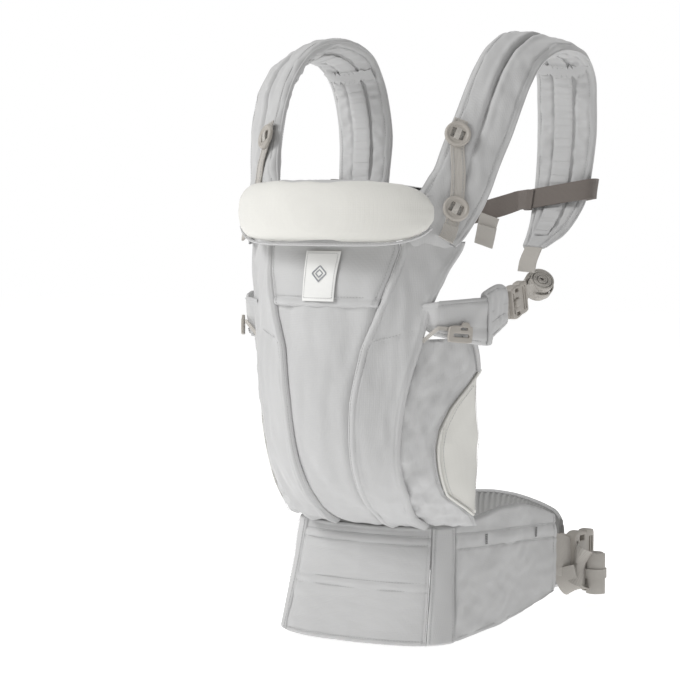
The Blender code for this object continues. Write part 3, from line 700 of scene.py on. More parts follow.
def build_gusset(side, flip):
    panel("leg_gusset_" + side, gusset, 34, 90, 4.6, M_GREY, CAR, gusset_relief, (2, 2.4, 3, 3), flip_x=flip, replaces=("seat_gusset_" + side,))
    stitched("gusset_stitching_" + side, [inset_line(gusset, 1, 4.6, 0.4, 90, 0.02, 0.98)], M_THREAD, CAR, flip_x=flip)
    pad = panel("thigh_pad_" + side, leg, 26, 60, 10.5, M_CREAM, CAR,
                lambda a, b, c, d, g: 2.0 * dome(np.minimum(np.minimum(a, b), np.minimum(c, d)), 14) - 1.2 + ripple(g, 16, (1, 1, 1.4), 1.0, 7.7),
                (5, 5, 5, 5), -0.6, flip_x=flip, replaces=("leg_pad_" + side,))
    cord("thigh_pad_piping_" + side, on(leg, [(0.0, t) for t in np.linspace(0, 1, 60)], 0.2), 1.7, M_CREAM, CAR, flip_x=flip)
    rear = [barrel(gusset_edge(z) - 1.0, z) for z in np.linspace(0.497, GUSSET_TOP, 16)]
    cord("gusset_binding_" + side, resample(rear, 3), 2.9, M_GREY, CAR, flip_x=flip)
    stitched("thigh_pad_stitching_" + side, [inset_line(leg, 0, 5.5, 2.0, 60, 0.06, 0.94), inset_line(leg, 1, 6, 1.2, 60, 0.06, 0.94)], M_THREAD, CAR, flip_x=flip)


each(build_gusset)


# ---- hood pocket and label --------------------------------------------------------------------------
P0, P1 = TOP_CENTRE - 0.004, 0.994


def pocket(s, t):
    z = P0 + t * (P1 - P0)
    return barrel((2 * s - 1) * (pocket_edge(z) + 0.2), z) + np.array([0, -1.2, 0])


def pocket_relief(a, b, c, d, g):
    edge = np.minimum(a, b)
    return (ripple(g, 24, (1, 1, 1.6), 2.4, 21.0) * 1.0 * np.clip(edge / 9, 0.2, 1) + 1.4 * np.exp(-((c - 4) / 3.6) ** 2)
            + groove(c, 9.5, 0.9) + groove(edge, 5.5, 0.8) + 1.2 * dome(np.minimum(edge, c), 26))


panel("hood_pocket_cover", pocket, 56, 66, 5.6, M_GREY, CAR, pocket_relief, (3, 3, 3, 2), 0.9, replaces=("hood_pocket",))
stitched("hood_pocket_stitching", [inset_line(pocket, 0, 5.5, 2.0, 60, 0.01, 0.97), inset_line(pocket, 1, 5.5, 2.0, 60, 0.01, 0.97),
         on(pocket, [(s, 9.5 / 128) for s in np.linspace(0.03, 0.97, 60)], 2.3)], M_THREAD, CAR)


def label(s, t):
    low, high = t_at(383), t_at(437)
    return barrel((2 * s - 1) * 7.6, low + (high - low) * t) + np.array([0, -6.4, 0])


panel("label_cloth", label, 16, 22, 0.9, M_LABEL, CAR, lambda a, b, c, d, g: 0.25 * np.sin(c / 7 + a / 9), (0.6,) * 4, replaces=("label_patch",))
stitched("label_stitching", [on(label, [(u, 0.05) for u in np.linspace(0.06, 0.94, 20)], 0.3), on(label, [(u, 0.95) for u in np.linspace(0.06, 0.94, 20)], 0.3),
         on(label, [(0.06, u) for u in np.linspace(0.05, 0.95, 26)], 0.3), on(label, [(0.94, u) for u in np.linspace(0.05, 0.95, 26)], 0.3)],
         M_THREAD, CAR, 2.6, 1.8, 0.32)
cord("label_woven_outline", resample(on(label, [(0.5, 0.36), (0.72, 0.52), (0.5, 0.68), (0.28, 0.52), (0.5, 0.36)], 0.45), 1.5), 0.75, M_MARK, CAR)
cord("label_woven_inner_outline", resample(on(label, [(0.5, 0.445), (0.61, 0.52), (0.5, 0.595), (0.39, 0.52), (0.5, 0.445)], 0.45), 1.5), 0.6, M_MARK, CAR)


# ---- headrest pillow -----------------------------------------------------------------------------------
def pillow_rings(nx, nt, shrink=0.0):
    rings = []
    for x in np.linspace(-1, 1, nx):
        e = abs(x)
        q = max(1e-3, 1 - e ** 9) ** 0.5
        half = (37.0 - shrink) * (1 - 0.30 * e ** 4) * q + 0.6
        depth = (14.5 - shrink) * (0.35 + 0.65 * (1 - e ** 3.5)) * q + 0.6
        cx, cy = (124.5 - shrink) * x, -237.0 + 47 * x * x
        lean = 47 * 2 * x / 124.5
        nrm = np.array([lean, -1.0]) / math.hypot(lean, 1)
        ring = []
        for i in range(nt):
            a = 2 * math.pi * i / nt
            ca, sa = math.cos(a), math.sin(a)
            h = half * math.copysign(abs(ca) ** 0.85, ca)
            k = depth * math.copysign(abs(sa) ** 0.72, sa)
            ring.append([cx + nrm[0] * k, cy + nrm[1] * k, 478 + 2 * (1 - e * e) + h])
        rings.append(ring)
    return np.array(rings)


def inflate(obj, pressure=4.0, cap=6.0, voxel=5.0, last=16):
    """Pumps a closed soft shape up as cloth, each point held within cap millimetres of its start, and softens the result."""
    mesh = obj.data
    bpy.ops.object.select_all(action="DESELECT")
    bpy.context.view_layer.objects.active = obj
    obj.select_set(True)
    mesh.remesh_voxel_size = voxel * MM
    bpy.ops.object.voxel_remesh()
    before = np.empty(len(obj.data.vertices) * 3)
    obj.data.vertices.foreach_get("co", before)
    before = before.reshape(-1, 3)
    cloth = obj.modifiers.new("cloth", "CLOTH")
    cloth.settings.use_pressure = True
    cloth.settings.uniform_pressure_force = pressure
    cloth.settings.effector_weights.gravity = 0
    cloth.settings.quality = 5
    cloth.settings.tension_stiffness = 12
    cloth.point_cache.frame_start, cloth.point_cache.frame_end = 1, last
    scene = bpy.context.scene
    for f in range(1, last + 1):
        scene.frame_set(f)
    swollen = obj.evaluated_get(bpy.context.evaluated_depsgraph_get())
    after = np.empty(len(before) * 3)
    swollen.data.vertices.foreach_get("co", after)
    after = after.reshape(-1, 3)
    obj.modifiers.clear()
    scene.frame_set(1)
    move = after - before
    far = np.linalg.norm(move, axis=1, keepdims=True)
    move *= np.minimum(1, cap * MM / np.maximum(far, 1e-9))
    obj.data.vertices.foreach_set("co", (before + move).reshape(-1))
    obj.data.update()
    sub = obj.modifiers.new("smooth", "SUBSURF")
    sub.levels = sub.render_levels = 1
    bpy.ops.object.modifier_apply(modifier="smooth")
    obj.data.shade_smooth()
    return obj


def pillow_seam(k):
    return [pillow_rings(90, 24, 0.0)[i][k] for i in range(1, 89)]


rings = pillow_rings(90, 48, 2.2)
for i in range(len(rings)):
    e = abs(2 * i / (len(rings) - 1) - 1)
    for j in range(48):
        c = rings[i].mean(axis=0)
        gather = 0.9 * math.sin(j * 2 * math.pi / 48 * 13) * max(0, e - 0.62) / 0.38
        out = unit(rings[i][j] - c) if np.linalg.norm(rings[i][j] - c) > 1e-6 else np.zeros(3)
        rings[i][j] = rings[i][j] + out * (gather + 1.4 * noise.noise(Vector(rings[i][j] / 30)))
pillow_obj = loft("headrest_cushion", rings, M_CREAM, "headrest", replaces=("headrest_pillow",))
pillow_obj.parent = None
pillow_obj.matrix_world = Matrix.Identity(4)
inflate(pillow_obj, 3.5, 4.0, 5.0)
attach(pillow_obj, "headrest")


def around(x, a, grow=0.0):
    """A point of the pillow's outline at share x of its length and angle a."""
    e = abs(x)
    q = max(1e-3, 1 - e ** 9) ** 0.5
    half, depth = 37.5 * (1 - 0.30 * e ** 4) * q + grow, 15.5 * (0.35 + 0.65 * (1 - e ** 3.5)) * q + grow
    lean = 47 * 2 * x / 124.5
    nrm = np.array([lean, -1.0]) / math.hypot(lean, 1)
    ca, sa = math.cos(a), math.sin(a)
    h, k = half * math.copysign(abs(ca) ** 0.85, ca), depth * math.copysign(abs(sa) ** 0.72, sa)
    return np.array([124.5 * x + nrm[0] * k, -237 + 47 * x * x + nrm[1] * k, 478 + 2 * (1 - e * e) + h])


# grey cord along the pillow's lower edge: a seam piping that also paints the grey shadow under the pillow
lip = [around(x, math.radians(158), 0.6) for x in np.linspace(-0.955, 0.955, 80)]
# the fabric that carries the pillow over the panel's upper edge
flap = []
for x in np.linspace(-56, 56, 44):
    low = barrel(x, t_at(497)) + np.array([0, 2.4, 0])
    far = -237 + 47 * (x / 124.5) ** 2
    path_ = resample(np.array([low, [x, low[1] - 5, 506], [x, -214 + 3.0 * (x / 56) ** 2, 511.6], [x, (far - 214) / 2 + 2, 512.6], [x, far + 4, 506]]), 2.4)
    path_ = np.array([spline([tuple(p) for p in path_], u) for u in np.linspace(0, 1, 18)])
    run_ = np.gradient(path_, axis=0)
    side_ = np.cross(run_, np.array([1.0, 0, 0]))
    side_ /= np.linalg.norm(side_, axis=1, keepdims=True)
    flap.append(np.concatenate([path_ + side_ * 1.3, (path_ - side_ * 1.3)[::-1]]))
loft("headrest_fold_flap", flap, M_GREY, "headrest", bends=True)
cord("headrest_seam_shadow_piping", lip, 1.5, M_GREY, "headrest")
stitched("headrest_stitching", [[around(x, math.radians(150), 1.4) for x in np.linspace(-0.94, 0.94, 80)]], M_THREAD, "headrest")


# ---- shoulder straps ----------------------------------------------------------------------------------------
FOOT = np.array([(103, -176.0, 424, 42, 0)])


def strap_row(t):
    """As strap_at, with a foot below its start that lies behind the top of the side panel."""
    if t >= 0:
        p, a = strap_at(t)
        slim = lerp([(0.03, 0), (0.12, 1), (0.44, 1), (0.58, 0)], t)
        return p + a * 4.5 * slim, a, lerp([(0, 62), (0.04, 68), (0.1, STRAP_W), (0.75, STRAP_W), (0.88, 66), (0.95, 47), (1, 28)], t) - 9 * slim
    u = -t / 0.05
    p, a = strap_at(0)
    q = np.array([110.0, -166.0, 428.0])
    return p * (1 - u) + q * u, unit(a * (1 - u) + np.array([math.cos(math.radians(45)), math.sin(math.radians(45)), 0]) * u), 62 * (1 - u) + 40 * u


def strap_shape(flip=False):
    steps = np.concatenate([np.linspace(-0.05, 0, 8)[:-1], np.linspace(0, 1, 190)])
    rows = [strap_row(t) for t in steps]
    centre_ = np.array([r[0] for r in rows])
    tan, a, up = frames(centre_, np.array([r[1] for r in rows]))
    up = -up
    return steps, rows, centre_, tan, a, up


STEPS, ROWS, MID, TAN, ACR, UPS = strap_shape()
if np.dot(UPS[60], (0, -1, 0)) < 0:
    UPS = -UPS


def strap_thick(t):
    return lerp([(-0.05, 4), (0, 8), (0.05, 12.5), (0.12, STRAP_T), (0.85, STRAP_T), (0.95, 13), (1, 6)], t)


def strap_top(t, x, lift=0.0, under=False):
    """A point of the strap's outer face, or its inner one, at share t and x millimetres across."""
    i = int(np.clip(np.searchsorted(STEPS, t), 0, len(STEPS) - 1))
    half = ROWS[i][2] / 2
    k = min(0.999, abs(x) / half)
    h = strap_thick(t) / 2 * (1 - k ** 4) ** 0.45 * (1 - 0.10 * k * k)
    return MID[i] + ACR[i] * x + UPS[i] * ((-h - lift) if under else (h + lift))


def strap_rings():
    rings = []
    n = 92
    for i, t in enumerate(STEPS):
        half, th = ROWS[i][2] / 2, strap_thick(t) / 2
        ring = []
        for j in range(n):
            u = 1 - 4 * j / n if j <= n / 2 else -1 + 4 * (j - n / 2) / n
            s_ = 1 if j <= n / 2 else -1
            k = math.sin(u * math.pi / 2) * 0.45 + u * 0.55
            h = th * (1 - abs(k) ** 4) ** 0.45 * (1 - 0.10 * k * k) * (1 if s_ >= 0 else -1)
            x = k * half
            edge = half - abs(x)
            if s_ > 0:
                mid_groove = lerp([(-0.05, 0), (0.10, 0.8), (0.18, 2.0), (0.26, 4.5), (0.34, 6.0), (0.45, 7.0), (0.58, 6.5), (0.70, 3.0), (0.8, 1.2), (1, 0.6)], t)
                gap = x + 2.0 + lerp([(0, -6), (0.3, 0), (1, 0)], t)
                h -= mid_groove * math.exp(-(gap / 2.0) ** 2) - 1.0 * (mid_groove > 1.9) * math.exp(-((abs(gap) - 6.5) / 3.2) ** 2)
                h -= 1.0 * math.exp(-((edge - 6.0) / 1.1) ** 2) * (t > 0.02)
            else:
                h += lerp([(-0.05, 0), (0.3, 0.4), (0.42, 2.2), (0.9, 2.2), (1, 0)], t) * math.exp(-((abs(x) - 13) / 1.8) ** 2)
                h += 1.2 * math.exp(-((edge - 6.0) / 1.1) ** 2) * (t > 0.02)
            p = MID[i] + ACR[i] * x + UPS[i] * h
            w = noise.noise(Vector((p[0] / 22, p[1] / 22, p[2] / 34))) * 2.4 + noise.noise(Vector((p[0] / 9, p[1] / 9, p[2] / 16 + 9))) * 0.9
            curl = lerp([(0.25, 0), (0.36, 1), (0.80, 1), (0.9, 0)], t) * 1.5 * math.sin(t * 230 + 2 * noise.noise(Vector((t * 30, x / 15, 1)))) * (s_ < 0) * math.exp(-((abs(x) - 22) / 7) ** 2)
            ring.append(p + UPS[i] * (w * math.copysign(1, s_) * (0.3 if abs(k) > 0.95 else 1) + curl))
        rings.append(ring)
    return np.array(rings)


RINGS = strap_rings()


def build_strap(side, flip):
    body = "strap_" + side
    pad = loft("shoulder_pad_" + side, RINGS, M_GREY, body, bends=True, flip_x=flip, replaces=("shoulder_strap_" + side,), sharp=60)
    lines = []
    for sgn in (-1, 1):
        lines.append([strap_top(t, sgn * (strap_row(t)[2] / 2 - 6.0), -0.2) for t in np.linspace(0.01, 0.985, 170)])
        lines.append([strap_top(t, sgn * (strap_row(t)[2] / 2 - 6.0), -0.3, True) for t in np.linspace(0.01, 0.985, 170)])
    stitched("shoulder_pad_stitching_" + side, lines, M_THREAD, body, bends=True, flip_x=flip)
    edge = []
    for sgn in (-1, 1):
        pts = []
        for t in np.linspace(0.0, 0.99, 170):
            i = int(np.clip(np.searchsorted(STEPS, t), 0, len(STEPS) - 1))
            pts.append(MID[i] + ACR[i] * sgn * (ROWS[i][2] / 2 - 0.4))
        edge.append(pts)
        cord(f"shoulder_binding_{'in' if sgn < 0 else 'out'}_{side}", resample(pts, 4), 1.4, M_GREY, body, bends=True, flip_x=flip)
    # gathered channel along the inside of the rear run
    ts = np.linspace(0.40, 0.965, 150)
    pts, wide = [], []
    for n_, t in enumerate(ts):
        pts.append(strap_top(t, 0, 0.7 + 0.55 * math.sin(n_ * 1.05), True))
        wide.append(23.0 if t < 0.9 else 23 - (t - 0.9) * 80)
    web("shoulder_channel_" + side, pts, np.array([ACR[int(np.clip(np.searchsorted(STEPS, t), 0, len(STEPS) - 1))] for t in ts]),
        np.array(wide), 1.6, M_GREY, body, flip_x=flip)
    # band sewn across the inside at the top of the shoulder
    pts = [strap_top(0.60 + 0.004 * math.sin(q * 3), x, 1.6, True) for q, x in enumerate(np.linspace(-31, 31, 20))]
    web("shoulder_cross_band_" + side, pts, np.array(TAN[int(np.searchsorted(STEPS, 0.60))]), 15.0, 1.8, M_GREY, body, flip_x=flip)
    # webbing with the two buttons
    heights = np.linspace(457, 568, 60)
    pts = [on_strap(z, lerp(NECK_LINE, z), STRAP_T / 2 + 1.9 + 0.5 * math.sin(z / 5.5)) for z in heights]
    web("button_webbing_" + side, pts, np.array([strap_frame(z)[1] for z in heights]), NECK_WEB + 0.6, 1.7, M_WEB, body,
        flip_x=flip, replaces=("neck_webbing_" + side,))
    tab = [on_strap(z, lerp(NECK_LINE, z) , STRAP_T / 2 + 2.4) for z in np.linspace(453, 468, 8)]
    web("button_webbing_tab_" + side, tab, np.array([strap_frame(z)[1] for z in np.linspace(453, 468, 8)]), NECK_WEB + 1.6, 2.6, M_WEB, body, flip_x=flip)
    stitched("button_webbing_stitching_" + side, [[on_strap(z, lerp(NECK_LINE, z) + k, STRAP_T / 2 + 3.0 + 0.5 * math.sin(z / 5.5)) for z in heights]
             for k in (-5.2, 5.2)], M_THREAD, body, flip_x=flip)
    for level, z in (("upper", 552.5), ("lower", 483.5)):
        snap(f"snap_{level}_{side}", z, body, flip, f"neck_button_{level}_{side}")
    pts = [spline([(127.0, 46, 436), (126.5, 41.5, 430.5), (125.5, 38, 425), (124.5, 35.5, 419), (124, 34, 413), (123.6, 33, 408)], t) for t in np.linspace(0, 1, 16)]
    web("strap_end_webbing_" + side, pts, (1.0, 0, 0), 22.0, 1.8, M_WEB, body, flip_x=flip, replaces=("strap_webbing_" + side,))


def snap(name, z, body, flip, node):
    """Round button: a domed rim, a sunk face with a rectangular window, and the webbing's bar across it."""
    c, a, out, run = strap_frame(z)
    at = on_strap(z, lerp(NECK_LINE, z), STRAP_T / 2 + 4.9)
    n = 56
    verts, faces = [], []
    prof = [(14.2, -2.2), (14.5, -0.6), (14.2, 0.9), (13.4, 1.9), (12.2, 2.3), (11.0, 1.9), (10.2, 1.1), (9.4, 0.9)]
    win = []
    for i in range(n):
        q = 2 * math.pi * i / n
        win.append((7.4 * math.copysign(min(1, abs(math.cos(q)) * 1.35), math.cos(q)), 5.6 * math.copysign(min(1, abs(math.sin(q)) * 1.35), math.sin(q))))
    for i in range(n):
        q = 2 * math.pi * i / n
        for r, h in prof:
            verts.append(at + a * r * math.cos(q) + run * r * math.sin(q) + out * h)
        for k, h in ((1.0, 0.9), (1.0, -1.6)):
            verts.append(at + a * win[i][0] * k + run * win[i][1] * k + out * h)
        verts.append(at + a * 13.4 * math.cos(q) + run * 13.4 * math.sin(q) - out * 2.2)
        verts.append(at + a * win[i][0] + run * win[i][1] - out * 2.2)
    m = len(prof) + 4
    order = [len(prof) + 2] + list(range(len(prof))) + [len(prof), len(prof) + 1, len(prof) + 3]
    for i in range(n):
        j = (i + 1) % n
        for u, v in zip(order, order[1:] + order[:1]):
            faces.append((i * m + u, j * m + u, j * m + v, i * m + v))
    make(name, verts, faces, M_PLASTIC, body, flip_x=flip, replaces=(node,), sharp=38)
    bar = [at + run * y + out * (0.9 + 0.9 * math.cos(y / 5.6 * math.pi / 2)) for y in np.linspace(-6.4, 6.4, 12)]
    web(name + "_webbing_bar", bar, a, 6.2, 1.5, M_WEB, body, flip_x=flip)


each(build_strap)


# ---- chest strap ------------------------------------------------------------------------------------------
def chest_ring(grow=0.0, lift=0.0, n=72):
    pts = []
    for i in range(n):
        a = 2 * math.pi * i / n
        c, s_ = math.cos(a), math.sin(a)
        x = 134 + (43 + grow) * math.copysign(abs(c) ** 0.55, c)
        y = 106.0 + (17.0 + grow) * math.copysign(abs(s_) ** 0.6, s_)
        pts.append((x, y, CHEST_Z - 6 + 0.16 * (x - 134) + lift))
    return resample(np.array(pts + pts[:1]), 3.0)[:-1]


def build_chest(side, flip):
    body = "chest_strap_" + side
    web("chest_band_" + side, chest_ring(), (0.0, 0.31, 0.95), STRAP_WEB - 1, 2.2, M_TAUPE, body, closed=True, flip_x=flip, replaces=("chest_loop_" + side,))
    up_ = unit((0.0, 0.31, 0.95))
    inner = [p for p in chest_ring(0.7) if p[0] < 122 and p[1] < 108]
    lines = []
    for x in (92.5, 94.5, 104.0):
        base = min(chest_ring(1.3), key=lambda p: abs(p[0] - x) + (0 if p[1] < 106 else 99))
        lines.append([base + up_ * h for h in np.linspace(-11, 11, 9)])
    stitched("chest_band_stitching_" + side, lines, M_SEAM, body, 3, 2.2, 0.5, flip_x=flip)
    back = [p + np.array([0, 2.3, -1.5]) for p in chest_ring(0.0) if p[1] < 96 and 97 < p[0] < 150]
    back = sorted(back, key=lambda p: p[0])
    web("chest_band_underlay_" + side, back, up_, 19.0, 1.6, M_TAUPE, body, flip_x=flip)


each(build_chest)


def chest_web(name, x0, x1, body, node):
    xs = np.linspace(x0, x1, 56)
    k = math.copysign(1, x0)

    def path(x):
        if abs(x) < 84:
            return chest_path(x) + np.array([0, 0.35 * math.sin(x / 5), 0])
        u = min(1.0, (abs(x) - 84) / 14)
        return np.array([x, 95 * (1 - u) + 87.4 * u, 490 + 1.6 * u])
    web(name, [path(x) for x in xs], np.array([(0, lerp([(60, 0.1), (90, 0.33)], abs(x)), 0.98) for x in xs]), STRAP_WEB - 1, 2.2, M_TAUPE, body, replaces=(node,))


chest_web("chest_run_right", 106, 25.0, "chest_strap_right", "chest_webbing_right")
chest_web("chest_run_left", -88.0, -24.0, "chest_clip", "chest_webbing_left")


def moulded(name, centre, x_dir, y_dir, outline, height, mat, body, holes=(), edge=1.4, replaces=(), flip_x=False, crown=0.0):
    """A moulded plate of any outline with rounded rims and openings through it, by filling and extruding the outline."""
    ax = unit(x_dir)
    az = unit(np.cross(ax, y_dir))
    ay = np.cross(az, ax)
    curve = bpy.data.curves.new(name, "CURVE")
    curve.dimensions = "2D"
    curve.fill_mode = "BOTH"
    for ring in [outline] + list(holes):
        sp = curve.splines.new("POLY")
        sp.points.add(len(ring) - 1)
        for p, q in zip(sp.points, ring):
            p.co = (q[0] * MM, q[1] * MM, 0, 1)
        sp.use_cyclic_u = True
    curve.extrude = (height / 2 - edge) * MM
    curve.bevel_depth = edge * MM
    curve.bevel_resolution = 3
    curve.offset = -edge * MM
    tmp = bpy.data.objects.new(name + "_c", curve)
    bpy.context.scene.collection.objects.link(tmp)
    mesh = bpy.data.meshes.new_from_object(tmp.evaluated_get(bpy.context.evaluated_depsgraph_get()))
    bpy.data.objects.remove(tmp)
    c = np.asarray(centre, float)
    verts = []
    for v in mesh.vertices:
        p = np.array(v.co) / MM
        z = p[2] + (crown * (1 - (p[1] / 20) ** 2) if p[2] > 0 else 0)
        verts.append(c + ax * p[0] + ay * p[1] + az * z)
    faces = [tuple(f.vertices) for f in mesh.polygons]
    bpy.data.meshes.remove(mesh)
    return make(name, verts, faces, mat, body, flip_x=flip_x, replaces=replaces, sharp=42)


def rounded(w, h, r, x=0.0, y=0.0, n=6):
    pts = []
    for cx, cy, a0 in ((w / 2 - r, h / 2 - r, 0), (-w / 2 + r, h / 2 - r, 90), (-w / 2 + r, -h / 2 + r, 180), (w / 2 - r, -h / 2 + r, 270)):
        for i in range(n + 1):
            q = math.radians(a0 + 90 * i / n)
            pts.append((x + cx + r * math.cos(q), y + cy + r * math.sin(q)))
    return pts


def smooth_ring(points, n=8):
    """A closed smooth outline through a few corner points."""
    pts, k = np.asarray(points, float), len(points)
    out = []
    for i in range(k):
        p0, p1, p2, p3 = pts[i - 1], pts[i], pts[(i + 1) % k], pts[(i + 2) % k]
        for u in np.arange(n) / n:
            out.append(tuple(0.5 * (2 * p1 + (p2 - p0) * u + (2 * p0 - 5 * p1 + 4 * p2 - p3) * u * u + (3 * p1 - p0 - 3 * p2 + p3) * u ** 3)))
    return out


def female(name, centre, run, up, w, half, thick, body, flip, node, window):
    """Receiver: waisted shell with two prong openings at its sides, a middle window and a webbing slot at the back."""
    L = w
    outline = smooth_ring([(-L / 2, -half * .80), (-L / 2, 0), (-L / 2, half * .80), (-L * .30, half * .97), (0, half), (L * .30, half * .96), (L / 2, half * .82), (L / 2, 0),
                           (L / 2, -half * .82), (L * .30, -half * .96), (0, -half), (-L * .30, -half * .97)], 5)
    holes = [rounded(L * .40, half * .20, 1.2, L * .10, half * .72)[::-1], rounded(L * .40, half * .20, 1.2, L * .10, -half * .72)[::-1],
             rounded(L * .13, half * 1.25, 1.2, -L * .30, 0)[::-1], rounded(*window, 2.0, L * .04, 0)[::-1]]
    moulded(name, centre, run, up, outline, thick, M_PLASTIC, body, holes, 1.3, (node,), flip)


def male_half(name, centre, run, up, w, half, thick, tongue, body, flip, node):
    """Plug: shoulder with a webbing slot and a bar, and a tongue with two bowed prongs."""
    L = w
    outline = smooth_ring([(-L / 2, -half * .86), (-L / 2, 0), (-L / 2, half * .86), (-L * .2, half * .98), (L * .3, half * .96), (L / 2, half * .8), (L / 2, 0), (L / 2, -half * .8),
                           (L * .3, -half * .96), (-L * .2, -half * .98)], 5)
    holes = [rounded(L * .16, half * 1.4, 1.2, -L * .05, 0)[::-1], rounded(L * .16, half * 1.4, 1.2, L * .25, 0)[::-1]]
    moulded(name, centre, run, up, outline, thick, M_PLASTIC, body, holes, 1.3, (node,), flip)
    run, up = unit(run), unit(up)
    for i, k in enumerate((-1, 1)):
        prong = [(-L / 2 + 1, k * half * .50), (-L / 2 - tongue * .5, k * half * .62), (-L / 2 - tongue * .80, k * half * .66), (-L / 2 - tongue * .95, k * half * .52),
                 (-L / 2 - tongue * .75, k * half * .42), (-L / 2 - tongue * .4, k * half * .36)]
        if k < 0:
            prong = prong[::-1]
        moulded(f"{name}_prong_{i + 1}", centre, run, up, smooth_ring(prong, 4), thick * .45, M_PLASTIC, body, (), 0.8, (), flip)
    moulded(name + "_tongue", np.asarray(centre) - run * (L / 2 + tongue * .42), run, up, rounded(tongue * .8, half * .34, 1.6), thick * .40, M_PLASTIC, body, (), 0.7, (), flip)


female("chest_receiver", HEAD + [11.2, 0, 0.5], (1, 0, 0), (0, 0, 1), 21.5, 15.5, 10, "chest_strap_right", False, "chest_buckle_female", (7, 9))
male_half("chest_plug", HEAD + [-10.4, 0, 0.5], (-1, 0, 0), (0, 0, 1), 18.0, 15.5, 10, 14, "chest_clip", False, "chest_buckle_male")
tail = [spline([(55, 78, 472), (52, 77.5, 463), (49, 78.5, 451), (45, 81, 439)], t) for t in np.linspace(0, 1, 20)]
web("chest_tail", tail, (0.86, 0.1, -0.5), 24.0, 2.2, M_WEB, "chest_strap_right", replaces=("chest_tail_keeper",))
web("chest_tail_fold", [p + np.array([1.4, -3.2, -2.2]) for p in tail[7:]], (0.86, 0.1, -0.5), 24.0, 3.4, M_WEB, "chest_strap_right")


# ---- side arms, width sliders, side buckles ------------------------------------------------------------------
def arm_visual(t):
    if t < 0:
        p = barrel(44.5, t_at(368))
        out = np.array([math.sin(math.radians(45)), -math.cos(math.radians(45)), 0.0])
        q, w = arm_at(0)
        u = min(1.0, -t / 0.06)
        return q * (1 - u) + (p - out * 1.5) * u, w * (1 - u) + 26 * u
    return arm_at(t)


